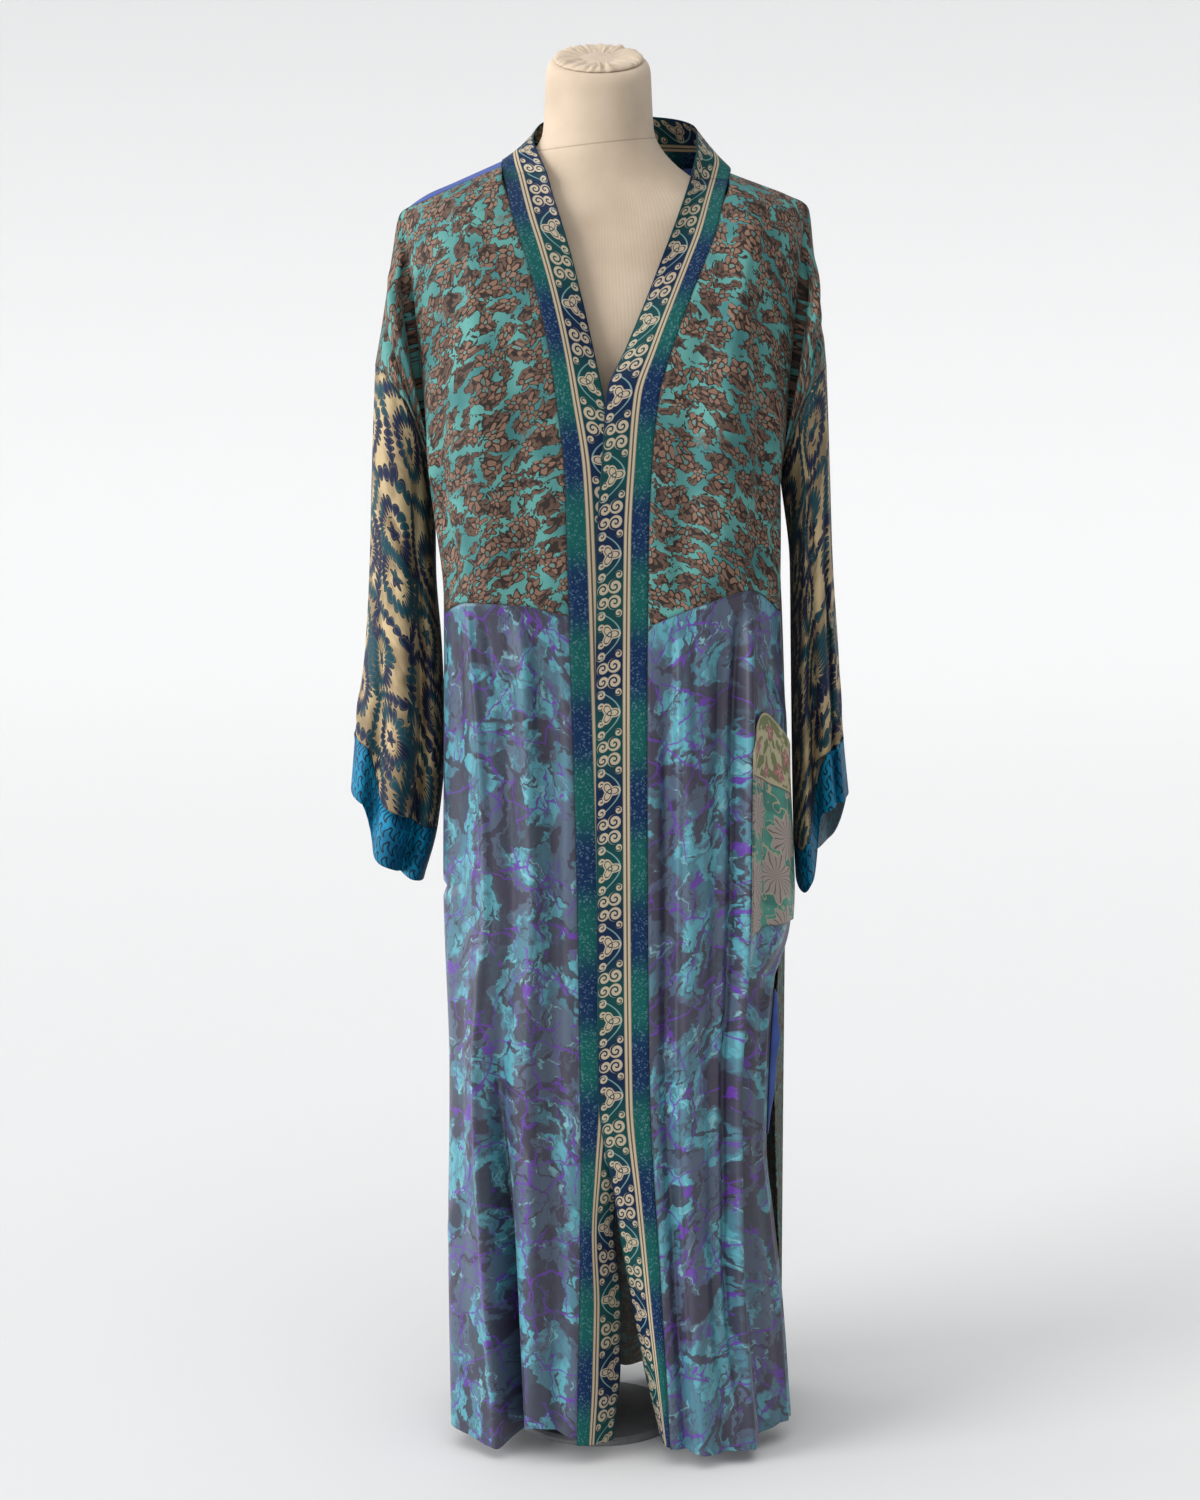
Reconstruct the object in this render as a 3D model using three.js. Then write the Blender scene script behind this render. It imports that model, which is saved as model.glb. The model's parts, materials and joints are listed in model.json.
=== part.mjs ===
import * as THREE from 'three';

// A patchwork kimono robe hanging open-fronted on a limbless dress form.
// Millimetres, +Z up, the fronts face -Y, +X is the wearer's left. The origin is the centre of the stand's
// foot on the floor. "Right" and "left" in names are the wearer's.

// ---- driving dimensions ---------------------------------------------------------------------------------
const CLOTH = 2;                 // wall of every cloth piece
const SEAM_GAP = 0.3;            // free space between two pieces at a seam
const UNDERARM_Z = 1085;         // lowest point of both armholes
const FRONT_Y = 147;             // how far the skirt of the right front hangs before the stand's axis
const LAP = 7;                   // the left front hangs this much further forward, over the right one
const SLIT_TOP_Z = 600;          // the side seams are open below this
const BASE_RADIUS = 92;
const BASE_HEIGHT = 9;
const POLE_RADIUS = 13;
const FORM_BOTTOM_Z = 762;
const NECK_HALF_WIDTH = 57;
const NECK_TOP_Z = 1530;         // middle of the neck's slanting top
const NECK_TOP_SLOPE = 0.34;     // the top rises towards the back
const CAP_RADIUS = 49;

// ---- reading tables -------------------------------------------------------------------------------------
// A table has named columns; its rows run along its first column, in rising order.
function table(columns, rows) {
  const sorted = [...rows].sort((a, b) => a[0] - b[0]);
  const columnOf = (index) => sorted.map((row) => row[index]);
  return Object.fromEntries(columns.map((name, index) => [name, curve(columnOf(0), columnOf(index))]));
}

// Monotone cubic through the points (at, value): never swings past a row's value.
function curve(at, value) {
  const last = at.length - 1;
  const step = at.slice(1).map((x, i) => x - at[i]);
  const slope = step.map((h, i) => (value[i + 1] - value[i]) / h);
  const tangent = at.map((x, i) => {
    if (i === 0) return slope[0];
    if (i === last) return slope[last - 1];
    if (slope[i - 1] * slope[i] <= 0) return 0;
    const near = 2 * step[i] + step[i - 1];
    const far = step[i] + 2 * step[i - 1];
    return (near + far) / (near / slope[i - 1] + far / slope[i]);
  });
  return (x) => {
    const clamped = Math.min(Math.max(x, at[0]), at[last]);
    let i = 0;
    while (i < last - 1 && clamped > at[i + 1]) i += 1;
    const h = step[i];
    const t = (clamped - at[i]) / h;
    const rise = value[i] * (1 + 2 * t) * (1 - t) ** 2 + value[i + 1] * t * t * (3 - 2 * t);
    return rise + h * t * (1 - t) * (tangent[i] * (1 - t) - tangent[i + 1] * t);
  };
}

const lerp = THREE.MathUtils.lerp;
const smooth = (from, to, x) => {
  const t = THREE.MathUtils.clamp((x - from) / (to - from), 0, 1);
  return t * t * (3 - 2 * t);
};
const bell = (distance) => Math.exp(-(distance ** 2));
const spread = (from, to, count) => Array.from({ length: count + 1 }, (_, i) => lerp(from, to, i / count));

// Smooth line through a row of feature points, at feature number k, that never swings past a feature.
function through(points, k) {
  const last = points.length - 1;
  const i = Math.min(Math.max(Math.floor(k), 0), last - 1);
  const t = k - i;
  const axisAt = (axis) => {
    const step = (j) => (points[j] && points[j + 1] ? points[j + 1][axis] - points[j][axis] : null);
    const tangent = (j) => {
      const [before, after] = [step(j - 1) ?? step(j), step(j) ?? step(j - 1)];
      return before * after > 0 ? (2 * before * after) / (before + after) : 0;
    };
    const start = points[i][axis];
    const rise = step(i);
    const [m0, m1] = [tangent(i), tangent(i + 1)];
    return start + m0 * t + (3 * rise - 2 * m0 - m1) * t * t + (m0 + m1 - 2 * rise) * t * t * t;
  };
  return new THREE.Vector3(axisAt('x'), axisAt('y'), axisAt('z'));
}

// ---- the garment's measures -----------------------------------------------------------------------------
// Border trim, one row per height: its outer edge (sewn to the front) and its free inner edge.
const BAND = {
  right: table(['z', 'outerX', 'outerY', 'innerX', 'innerY'], [
    [26, -24, -147, 16, -128],
    [100, -23, -147, 24, -118],
    [182, -21, -147, 25, -116],
    [268, -20, -147, 17, -126],
    [340, -19, -147, 26, -136],
    [440, -20, -147, 42, -145],
    [640, -23, -147, 40, -146],
    [860, -29, -147, 34, -146],
    [1010, -33, -146, 29, -145],
    [1100, -36, -144, 22, -143],
    [1180, -45, -138, 5, -134],
    [1226, -52, -129, -5, -120],
    [1287, -66, -113, -19, -107],
    [1330, -79, -99, -30, -99],
    [1366, -91, -84, -41, -91],
    [1390, -97, -65, -49, -80],
    [1412, -103, -34, -55, -71],
  ]),
  left: table(['z', 'outerX', 'outerY', 'innerX', 'innerY'], [
    [26, 79, -152, 68, -106],
    [87, 76, -153, 54, -112],
    [184, 70, -154, 36, -122],
    [268, 65, -154, 23, -139],
    [310, 62, -154, 17, -147],
    [421, 56, -154, 0, -153],
    [640, 53, -154, -2, -154],
    [860, 52, -154, -3, -154],
    [1030, 53, -153, -2, -153],
    [1118, 57, -150, 4, -150],
    [1180, 64, -142, 8, -140],
    [1226, 77, -131, 28, -122],
    [1283, 98, -111, 52, -106],
    [1317, 112, -97, 65, -99],
    [1350, 125, -80, 78, -90],
    [1382, 133, -55, 90, -74],
    [1405, 140, -22, 98, -50],
  ]),
};

// Round the back of the neck the trim stands up; one row per turn, right shoulder (0) to left shoulder (1).
const NECK_BAND = table(['turn', 'outerX', 'outerY', 'outerZ', 'innerX', 'innerY', 'innerZ'], [
  [0, -102, -41, 1410, -55, -72, 1410],
  [0.08, -104, -22, 1420, -62, -50, 1426],
  [0.18, -103, 16, 1426, -70, -8, 1448],
  [0.32, -80, 74, 1422, -62, 54, 1466],
  [0.5, 16, 101, 1418, 18, 88, 1476],
  [0.68, 98, 78, 1418, 82, 64, 1471],
  [0.82, 138, 34, 1421, 106, 26, 1458],
  [0.92, 142, -8, 1415, 105, -22, 1436],
  [1, 139, -30, 1404, 97, -58, 1404],
]);

// Half sections of the hanging body, one row per height; x is the distance from the stand's axis.
const BODY = {
  right: table(['z', 'creaseX', 'creaseY', 'cornerX', 'cornerY', 'seamX', 'seamY', 'backX', 'backY'], [
    [12, 112, -132, 166, -84, 160, 14, 150, 98],
    [220, 124, -132, 168, -76, 160, 12, 152, 94],
    [440, 133, -132, 165, -74, 159, 8, 154, 90],
    [640, 119, -134, 170, -74, 159, 4, 156, 86],
    [800, 124, -137, 168, -76, 160, 0, 158, 84],
    [960, 138, -136, 166, -86, 161, 0, 160, 78],
    [UNDERARM_Z, 152, -124, 183, -86, 176, 0, 174, 74],
  ]),
  left: table(['z', 'creaseX', 'creaseY', 'cornerX', 'cornerY', 'seamX', 'seamY', 'backX', 'backY'], [
    [12, 172, -138, 214, -84, 216, 22, 216, 100],
    [220, 152, -140, 196, -92, 216, 18, 216, 98],
    [440, 148, -140, 192, -96, 215, 12, 216, 96],
    [640, 158, -140, 207, -72, 210, 2, 216, 98],
    [800, 158, -140, 205, -74, 205, -4, 213, 98],
    [960, 160, -136, 195, -84, 200, -2, 206, 92],
    [UNDERARM_Z, 166, -124, 196, -86, 196, 0, 194, 76],
  ]),
};
const BACK = table(['z', 'centreY'], [
  [12, 128],
  [440, 124],
  [760, 134],
  [960, 116],
  [UNDERARM_Z, 110],
]);
const BACK_SHARE = [0, 0.2, 0.42, 0.72, 1];   // back features between the back corner and the centre
// The left front swings away from its slit: its side edge, one row per height.
const SLIT_EDGE = table(['z', 'edgeX', 'edgeY'], [
  [12, 219, -58],
  [175, 206, -66],
  [260, 196, -72],
  [354, 187, -80],
  [443, 194, -66],
  [520, 204, -34],
  [SLIT_TOP_Z, 213, 8],
]);
// Waist seam and hem heights, one row per feature counted from the trim (0) to the side seam (4).
const WAIST = {
  right: table(['k', 'z'], [[0, 947], [1, 959], [2, 961], [3, 945], [4, 950]]),
  left: table(['k', 'z'], [[0, 937], [1, 959], [2, 974], [3, 946], [4, 950]]),
};
const HEM = {
  right: table(['k', 'z'], [[0, 30], [1, 44], [1.8, 24], [2, 14], [3, 26], [4, 24]]),
  left: table(['k', 'z'], [[0, 22], [1, 17], [2, 17], [3, 26], [4, 24]]),
};
const BACK_WAIST_Z = 950;
const BACK_HEM_Z = 20;

// Shoulder line: where each feature of an upper front starts, from the trim to the corner above the crease.
// The shoulder seam lies this far down in front of the line (or, where negative, behind it).
const SHOULDER = {
  right: { lineX: [103, 126, 154, 188], lineZ: [1424, 1414, 1402, 1387], tipZ: 1368, seamDrop: 6 },
  left: { lineX: [140, 156, 178, 204], lineZ: [1412, 1406, 1398, 1388], tipZ: 1375, seamDrop: 0.5 },
};
// How far the cloth stands before (or behind) the shoulder line, by how far it has dropped below it.
const CHEST = table(['drop', 'front', 'back'], [
  [0, 0, 0],
  [8, 30, 38],
  [17, 52, 58],
  [35, 72, 76],
  [60, 88, 88],
  [100, 103, 98],
  [150, 119, 104],
  [190, 130, 106],
  [232, 139, 106],
  [272, 144, 105],
  [330, 148, 104],
]);
const CHEST_SHARE = [1, 0.98, 0.88, 0.64];   // at the trim, middle, crease and corner of an upper front

// Dropped shoulder, one row per turn of the armhole from its top (0) to the underarm (1); y is the distance
// from the shoulder line.
const DROPPED_COLUMNS = [
  'turn', 'valleyX', 'valleyY', 'valleyZ', 'lobeX', 'lobeY', 'lobeZ', 'sideX', 'sideY', 'sideZ',
];
const DROPPED = table(DROPPED_COLUMNS, [
  [0, 214, 0, 1368, 223, 0, 1325, 232, 0, 1268],
  [0.25, 207, 40, 1300, 220, 54, 1278, 230, 62, 1245],
  [0.5, 198, 50, 1225, 206, 80, 1218, 211, 85, 1199],
  [0.75, 187, 52, 1150, 189, 68, 1141, 188, 66, 1131],
  [1, 178, 44, UNDERARM_Z, 176, 30, UNDERARM_Z, 175, 15, UNDERARM_Z],
]);
const UNDERARM_TUCK = 4;       // the body's edge lies this much inside the sleeve's at the underarm
const FOLD_GAP = 1.2;          // front and back stay this far off the fold over the shoulder
// The left shoulder, armhole and underarm lie further out than the right ones by this much.
const OUTSET = {
  right: { tip: 0, armhole: 0, underarm: 0 },
  left: { tip: 12, armhole: 5, underarm: 20 },
};

// Sleeves, one row per length from the armhole (0) over the cuff seam (1) to the cuff's hem (1.2).
const SLEEVE = {
  right: table(['along', 'outerX', 'outerZ', 'innerX', 'innerZ', 'depth'], [
    [0, 242, 1207, 180, 1083, 80],
    [0.25, 247, 1096, 180, 985, 84],
    [0.5, 251, 990, 174, 890, 86],
    [0.75, 257, 900, 171, 795, 84],
    [1, 269, 806, 180, 696, 78],
    [1.2, 275, 742, 196, 636, 72],
  ]),
  left: table(['along', 'outerX', 'outerZ', 'innerX', 'innerZ', 'depth'], [
    [0, 247, 1207, 200, 1083, 80],
    [0.25, 252, 1096, 212, 985, 82],
    [0.5, 257, 990, 214, 890, 82],
    [0.75, 264, 900, 216, 790, 80],
    [1, 271, 802, 219, 676, 74],
    [1.2, 278, 736, 222, 628, 70],
  ]),
};
// How much of a sleeve end's slant each direction has, in degrees from outside through the front.
const SLANT = {
  right: table(['angle', 'share'], [
    [0, 0],
    [30, 0.08],
    [75, 0.82],
    [120, 1],
    [180, 0.92],
    [270, 0.5],
    [360, 0],
  ]),
  left: table(['angle', 'share'], [
    [0, 0],
    [60, 0.08],
    [98, 0.85],
    [130, 1],
    [180, 0.92],
    [300, 0.6],
    [360, 0],
  ]),
};

// ---- folds ----------------------------------------------------------------------------------------------
// Each fold is a trough (depth > 0) or a ridge (depth < 0): at feature k, this wide, between two heights.
const fold = (k, width, depth, bottom, top, fade = 120) => ({ k, width, depth, bottom, top, fade });
const FOLDS = {
  frontLowerRight: [
    fold(1.62, 0.2, 56, -200, 330, 300),
    fold(0.75, 0.3, 9, -200, 880),
    fold(1.3, 0.2, -8, 380, 900),
    fold(1.86, 0.1, 9, 300, 910),
    fold(2.55, 0.22, 7, -200, 900),
    fold(3.45, 0.25, 8, -200, 860),
  ],
  frontLowerLeft: [
    fold(2.0, 0.12, -13, 60, 930),
    fold(1.78, 0.12, 12, 120, 930),
    fold(1.3, 0.2, -8, -200, 900),
    fold(0.75, 0.25, 10, -200, 850),
    fold(2.5, 0.2, 14, -200, 800),
    fold(3.3, 0.2, -6, -200, 700),
  ],
  backLower: [
    fold(2.6, 0.3, 16, -200, 740),
    fold(3.9, 0.3, -12, -200, 700),
    fold(5.0, 0.35, 20, -200, 700),
    fold(6.2, 0.3, -10, -200, 680),
    fold(7.4, 0.3, 17, -200, 740),
    fold(1.3, 0.25, 7, -200, 700),
    fold(8.7, 0.25, 8, -200, 700),
  ],
  frontUpperRight: [
    fold(0.8, 0.25, 5, 960, 1240),
    fold(1.5, 0.22, -5, 900, 1330),
    fold(2.4, 0.22, 6, 900, 1180),
  ],
  frontUpperLeft: [
    fold(0.7, 0.22, 6, 900, 1230),
    fold(1.4, 0.22, -6, 900, 1300),
    fold(2.2, 0.2, 7, 900, 1240),
  ],
  backUpper: [
    fold(5.6, 0.4, 6, 900, 1240),
    fold(9.0, 0.5, 9, 900, 1300),
    fold(12.4, 0.4, 7, 900, 1230),
  ],
};
function troughAt(folds, k, z) {
  const share = (f) => {
    const overBottom = smooth(f.bottom - f.fade, f.bottom + f.fade, z);
    return overBottom * (1 - smooth(f.top - f.fade, f.top + f.fade, z));
  };
  return folds.reduce((sum, f) => sum + f.depth * bell((k - f.k) / f.width) * share(f), 0);
}

// ---- surfaces -------------------------------------------------------------------------------------------
const signOf = { right: -1, left: 1 };
const at = (side, x, y, z) => new THREE.Vector3(signOf[side] * x, y, z);

// Front half section at height z: trim, middle, crease, corner, side edge.
function frontFeatures(side, z) {
  const band = BAND[side];
  const body = BODY[side];
  const plane = -(side === 'left' ? FRONT_Y + LAP : FRONT_Y);
  const edge = new THREE.Vector3(band.outerX(z), Math.max(band.outerY(z), plane), z);
  const crease = at(side, body.creaseX(z), body.creaseY(z), z);
  const corner = at(side, body.cornerX(z), body.cornerY(z), z);
  const slit = side === 'left' && z < SLIT_TOP_Z;
  const seam = slit
    ? new THREE.Vector3(SLIT_EDGE.edgeX(z), SLIT_EDGE.edgeY(z), z)
    : at(side, body.seamX(z), body.seamY(z), z);
  const middle = new THREE.Vector3(lerp(edge.x, crease.x, 0.5), lerp(edge.y, plane, 0.6), z);
  if (slit) corner.set(Math.min(corner.x, seam.x - 14), Math.min(corner.y, seam.y - 22), z);
  return [edge, middle, crease, corner, seam];
}
// Back section at height z, from the right side seam round to the left one.
function backFeatures(z) {
  const { right, left } = BODY;
  const corners = [
    at('right', right.backX(z), right.backY(z), z),
    at('left', left.backX(z), left.backY(z), z),
  ];
  const centreX = (corners[0].x + corners[1].x) / 2;
  const centreY = BACK.centreY(z);
  const between = (corner, share) =>
    new THREE.Vector3(lerp(corner.x, centreX, share), lerp(corner.y, centreY, 1 - (1 - share) ** 2.2), z);
  const half = (corner) => BACK_SHARE.map((share) => between(corner, share));
  return [
    at('right', right.seamX(z), right.seamY(z), z),
    ...half(corners[0]),
    ...half(corners[1]).reverse().slice(1),
    at('left', left.seamX(z), left.seamY(z), z),
  ];
}
const BACK_LAST = 10;

// Lower front: u runs over the features from the trim to the side seam, v from the waist seam to the hem.
function frontLower(side) {
  return (u, v) => {
    const z = lerp(WAIST[side].z(u) - SEAM_GAP, HEM[side].z(u), v);
    return through(frontFeatures(side, z), u);
  };
}
function backLower(u, v) {
  const z = lerp(BACK_WAIST_Z - SEAM_GAP, BACK_HEM_Z, v);
  return through(backFeatures(z), u);
}

// Dropped-shoulder features at a turn of the armhole; face is -1 in front and 1 behind.
function droppedFeatures(side, turn, face) {
  const { tip, armhole, underarm } = OUTSET[side];
  const raised = SHOULDER[side].tipZ - SHOULDER.right.tipZ;
  const features = ['valley', 'lobe', 'side'].map((name, index) => {
    const x = DROPPED[`${name}X`](turn) + lerp(lerp(tip, armhole, index / 3), underarm, turn);
    const z = DROPPED[`${name}Z`](turn) + raised * (1 - turn) * (1 - index / 3);
    return at(side, x, face * (DROPPED[`${name}Y`](turn) + FOLD_GAP), z);
  });
  const edge = sleeve(side, [])(turn * 180, 0);
  edge.y = face * (Math.abs(edge.y) + FOLD_GAP);
  edge.x -= signOf[side] * UNDERARM_TUCK * smooth(0.3, 0.9, turn);
  return [...features, edge];
}
// The features of an upper front are trim, middle, crease, corner, valley, lobe, side and edge.
const UPPER_LAST = 7;
const ARMHOLE_SHARE = 0.72;    // share of v above the underarm
const BELOW_ARMHOLE = [0.46, 0.64, 0.82, 1];

// A point of the shoulder hill: drop is how far it lies below the line, negative behind the seam's side.
function hill(line, drop, depth) {
  return { y: Math.sign(drop) * depth(Math.abs(drop)), z: line - Math.abs(drop) };
}

// Upper front: u over its features, v from the shoulder line to the waist seam.
function frontUpper(side) {
  const { lineX, lineZ, seamDrop } = SHOULDER[side];
  return (u, v) => {
    if (v <= ARMHOLE_SHARE) {
      const turn = v / ARMHOLE_SHARE;
      const settled = smooth(0.5, 1, turn);
      const onBody = CHEST_SHARE.map((share, index) => {
        const drop = lerp(seamDrop, lineZ[index] - UNDERARM_Z, turn);
        const { y, z } = hill(lineZ[index], drop, CHEST.front);
        const target = frontFeatures(side, z)[index];
        const onTrim = index === 0 ? smooth(0, 0.12, turn) : null;
        const x = lerp(signOf[side] * lineX[index], target.x, onTrim ?? smooth(0, 0.55, turn));
        return new THREE.Vector3(x, lerp(-y * share, target.y, onTrim ?? settled), z);
      });
      return through([...onBody, ...droppedFeatures(side, turn, -1)], u);
    }
    const below = (v - ARMHOLE_SHARE) / (1 - ARMHOLE_SHARE);
    const feature = Math.min(u, 3) + Math.max(u - 3, 0) / 4;
    const z = lerp(UNDERARM_Z, WAIST[side].z(feature), below);
    const front = frontFeatures(side, z);
    const flank = BELOW_ARMHOLE.map((share) => front[3].clone().lerp(front[4], share));
    return through([...front.slice(0, 4), ...flank], u);
  };
}

// Back upper: u over its features from the right armhole to the left one, v from the shoulders to the waist.
const NECK_EDGE_TURNS = [0.18, 0.32, 0.5];    // where the back's neck edge is laid along the trim
const NECK_EDGE_DROP = 1.2;
const BESIDE_NECK_SHARE = 0.4;   // least way back of the cloth beside the neck, from the shoulder to the nape
const BACK_UPPER_PLACES = [1, 2, 3, 3.5, 4, 5];   // back features below the shoulder line and the neck edge
const BACK_UPPER_LAST = 18;
function backUpper(u, v) {
  const turn = Math.min(v / ARMHOLE_SHARE, 1);
  const below = Math.max((v - ARMHOLE_SHARE) / (1 - ARMHOLE_SHARE), 0);
  const bodyZ = lerp(UNDERARM_Z, BACK_WAIST_Z, below);
  const settle = smooth(0, 0.5, turn);
  const half = (side) => {
    const { lineX, lineZ, seamDrop } = SHOULDER[side];
    const onLine = [3, 2, 0].map((index) => {
      const drop = lerp(-seamDrop, lineZ[index] - UNDERARM_Z, turn);
      const { y, z } = hill(lineZ[index], drop, drop < 0 ? CHEST.front : CHEST.back);
      return { x: signOf[side] * lineX[index], y: y * CHEST_SHARE[index], z, out: smooth(0.45, 1, turn) };
    });
    const onNeck = NECK_EDGE_TURNS.map((part) => {
      const edge = neckBand(0, side === 'right' ? part : 1 - part);
      const z = lerp(edge.z - NECK_EDGE_DROP, UNDERARM_Z, turn);
      return { x: edge.x, y: edge.y, z, out: smooth(0, 0.4, turn) };
    });
    const body = [...onLine, ...onNeck].map((top, index) => {
      const z = below > 0 ? bodyZ : top.z;
      const place = BACK_UPPER_PLACES[index];
      const target = through(backFeatures(z), side === 'right' ? place : BACK_LAST - place);
      return new THREE.Vector3(lerp(top.x, target.x, settle), lerp(top.y, target.y, top.out), z);
    });
    const [, , shoulder, besideNeck, nape] = body;
    besideNeck.y = Math.max(besideNeck.y, lerp(shoulder.y, nape.y, BESIDE_NECK_SHARE));
    if (below === 0) return [...droppedFeatures(side, turn, 1).reverse(), ...body];
    const seam = backFeatures(bodyZ)[side === 'right' ? 0 : BACK_LAST];
    return [...BELOW_ARMHOLE.toReversed().map((share) => body[0].clone().lerp(seam, share)), ...body];
  };
  return through([...half('right'), ...half('left').reverse().slice(1)], u);
}

// Sleeve or cuff: u is the turn round the sleeve in degrees, from outside through the front; v the length.
function sleeve(side, groove) {
  const row = SLEEVE[side];
  return (u, v) => {
    const angle = THREE.MathUtils.degToRad(u);
    const level = ((1 - Math.cos(angle)) / 2) ** 2;
    const slant = lerp(level, SLANT[side].share((u + 360) % 360), smooth(0.1, 0.7, v));
    const centre = (row.outerX(v) + row.innerX(v)) / 2;
    const radius = (row.outerX(v) - row.innerX(v)) / 2;
    const squareness = 0.86;
    const along = Math.sign(Math.cos(angle)) * Math.abs(Math.cos(angle)) ** squareness;
    const across = Math.sign(Math.sin(angle)) * Math.abs(Math.sin(angle)) ** squareness;
    const depthOf = (g) => g.depth * bell((u - g.angle) / g.width) * smooth(g.from, g.to, v);
    const pinch = groove.reduce((sum, g) => sum + depthOf(g), 0);
    const shrink = 1 - pinch / row.depth(v);
    const x = centre + radius * along * lerp(1, shrink, 0.5);
    const y = -row.depth(v) * across * shrink;
    return at(side, x, y, lerp(row.outerZ(v), row.innerZ(v), slant));
  };
}
const GROOVES = {
  right: [
    { angle: 44, width: 17, depth: 26, from: 0.1, to: 0.8 },
    { angle: 122, width: 15, depth: 12, from: 0.05, to: 0.4 },
    { angle: 250, width: 22, depth: 16, from: 0.1, to: 0.7 },
  ],
  left: [
    { angle: 84, width: 14, depth: 24, from: 0.1, to: 0.8 },
    { angle: 30, width: 14, depth: 7, from: 0.1, to: 0.5 },
    { angle: 262, width: 22, depth: 16, from: 0.1, to: 0.7 },
  ],
};

// ---- cloth walls ----------------------------------------------------------------------------------------
// Lays rows of points on a surface and gives them a wall, so many millimetres in front of the surface.
function cloth(surface, us, vs, { closed = false, outward = 1, lift = 0, folds = [] } = {}) {
  const across = us.length;
  const normalAt = (u, v) => {
    const step = 0.004;
    const du = surface(u + step, v).sub(surface(u - step, v));
    const dv = surface(u, v + step).sub(surface(u, v - step));
    return du.cross(dv).normalize();
  };
  const folded = (u, v) => {
    const point = surface(u, v);
    const trough = troughAt(folds, u, point.z);
    return Math.abs(trough) > 0.01 ? point.addScaledVector(normalAt(u, v), -trough * outward) : point;
  };
  const points = vs.flatMap((v) => us.map((u) => folded(u, v)));
  return wall(points, across, { closed, lift: lift * outward });
}

// Closed wall round a grid of points; its outside is on the right-hand side of rows crossed with columns.
function wall(points, across, { closed = false, lift = 0 } = {}) {
  const rows = points.length / across;
  const columns = closed ? across : across - 1;
  const corner = (row, column) => row * across + (column % across);
  const normals = points.map(() => new THREE.Vector3());
  const quads = [];
  for (let row = 0; row < rows - 1; row += 1) {
    for (let column = 0; column < columns; column += 1) {
      const [left, right] = [column, column + 1];
      const quad = [corner(row, left), corner(row, right), corner(row + 1, right), corner(row + 1, left)];
      const [a, b, c, d] = quad.map((index) => points[index]);
      const normal = c.clone().sub(a).cross(d.clone().sub(b));
      quad.forEach((index) => normals[index].add(normal));
      quads.push(quad);
    }
  }
  normals.forEach((normal) => normal.normalize());
  const moved = (index, offset) => points[index].clone().addScaledVector(normals[index], offset);
  const shell = (offset) => points.map((_, index) => moved(index, offset));
  const positions = [...shell(lift + CLOTH / 2), ...shell(lift - CLOTH / 2)].flatMap((p) => [p.x, p.y, p.z]);
  const inner = points.length;
  const faces = quads.flatMap(([a, b, c, d]) => [
    a, b, c, a, c, d,
    inner + a, inner + c, inner + b, inner + a, inner + d, inner + c,
  ]);
  const close = (from, to) => faces.push(from, inner + from, inner + to, from, inner + to, to);
  for (let column = 0; column < columns; column += 1) {
    close(corner(0, column), corner(0, column + 1));
    close(corner(rows - 1, column + 1), corner(rows - 1, column));
  }
  if (!closed) {
    for (let row = 0; row < rows - 1; row += 1) {
      close(corner(row + 1, 0), corner(row, 0));
      close(corner(row, across - 1), corner(row + 1, across - 1));
    }
  }
  return solid(positions, faces);
}

// Indexed faces to a geometry; a shape that came out inside-out is turned.
function solid(positions, faces) {
  const point = (index) => new THREE.Vector3().fromArray(positions, 3 * index);
  let volume = 0;
  for (let i = 0; i < faces.length; i += 3) {
    volume += point(faces[i]).dot(point(faces[i + 1]).cross(point(faces[i + 2])));
  }
  const turned = volume < 0 ? faces.map((_, i) => faces[i - (i % 3) + [0, 2, 1][i % 3]]) : faces;
  const geometry = new THREE.BufferGeometry();
  geometry.setAttribute('position', new THREE.Float32BufferAttribute(positions, 3));
  geometry.setIndex(turned);
  geometry.computeVertexNormals();
  return geometry;
}

// ---- the trim -------------------------------------------------------------------------------------------
const BAND_ACROSS = [0, 0.4, 0.75, 1];
const BAND_TOP_Z = { right: 1409, left: 1403 };
function frontBand(side) {
  const band = BAND[side];
  return (u, z) => {
    const y = lerp(band.outerY(z), band.innerY(z), u ** 2.6);
    const sewn = band.outerX(z) - signOf[side] * 2 * SEAM_GAP;
    return new THREE.Vector3(lerp(sewn, band.innerX(z), u), y, z);
  };
}
function neckBand(u, turn) {
  const outer = new THREE.Vector3(NECK_BAND.outerX(turn), NECK_BAND.outerY(turn), NECK_BAND.outerZ(turn));
  const inner = new THREE.Vector3(NECK_BAND.innerX(turn), NECK_BAND.innerY(turn), NECK_BAND.innerZ(turn));
  return outer.lerp(inner, u);
}

// ---- the dress form -------------------------------------------------------------------------------------
const FORM = table(['z', 'halfWidth', 'front', 'back', 'power'], [
  [FORM_BOTTOM_Z, 138, 88, 84, 2.3],
  [776, 146, 94, 92, 2.4],
  [830, 148, 96, 98, 2.4],
  [930, 134, 92, 88, 2.4],
  [1020, 120, 86, 76, 2.3],
  [1110, 136, 100, 78, 2.4],
  [1190, 154, 106, 82, 2.4],
  [1250, 168, 100, 84, 2.4],
  [1300, 176, 90, 80, 2.4],
  [1346, 178, 80, 70, 2.3],
  [1366, 170, 76, 66, 2.2],
  [1380, 150, 73, 63, 2.1],
  [1396, 120, 69, 60, 2],
  [1410, 96, 66, 58, 2],
  [1426, 77, 63, 57, 2],
  [1440, 66, 60, 56, 2],
  [1454, 60, 58, 56, 2],
  [1500, NECK_HALF_WIDTH, 56, 56, 2],
]);
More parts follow.
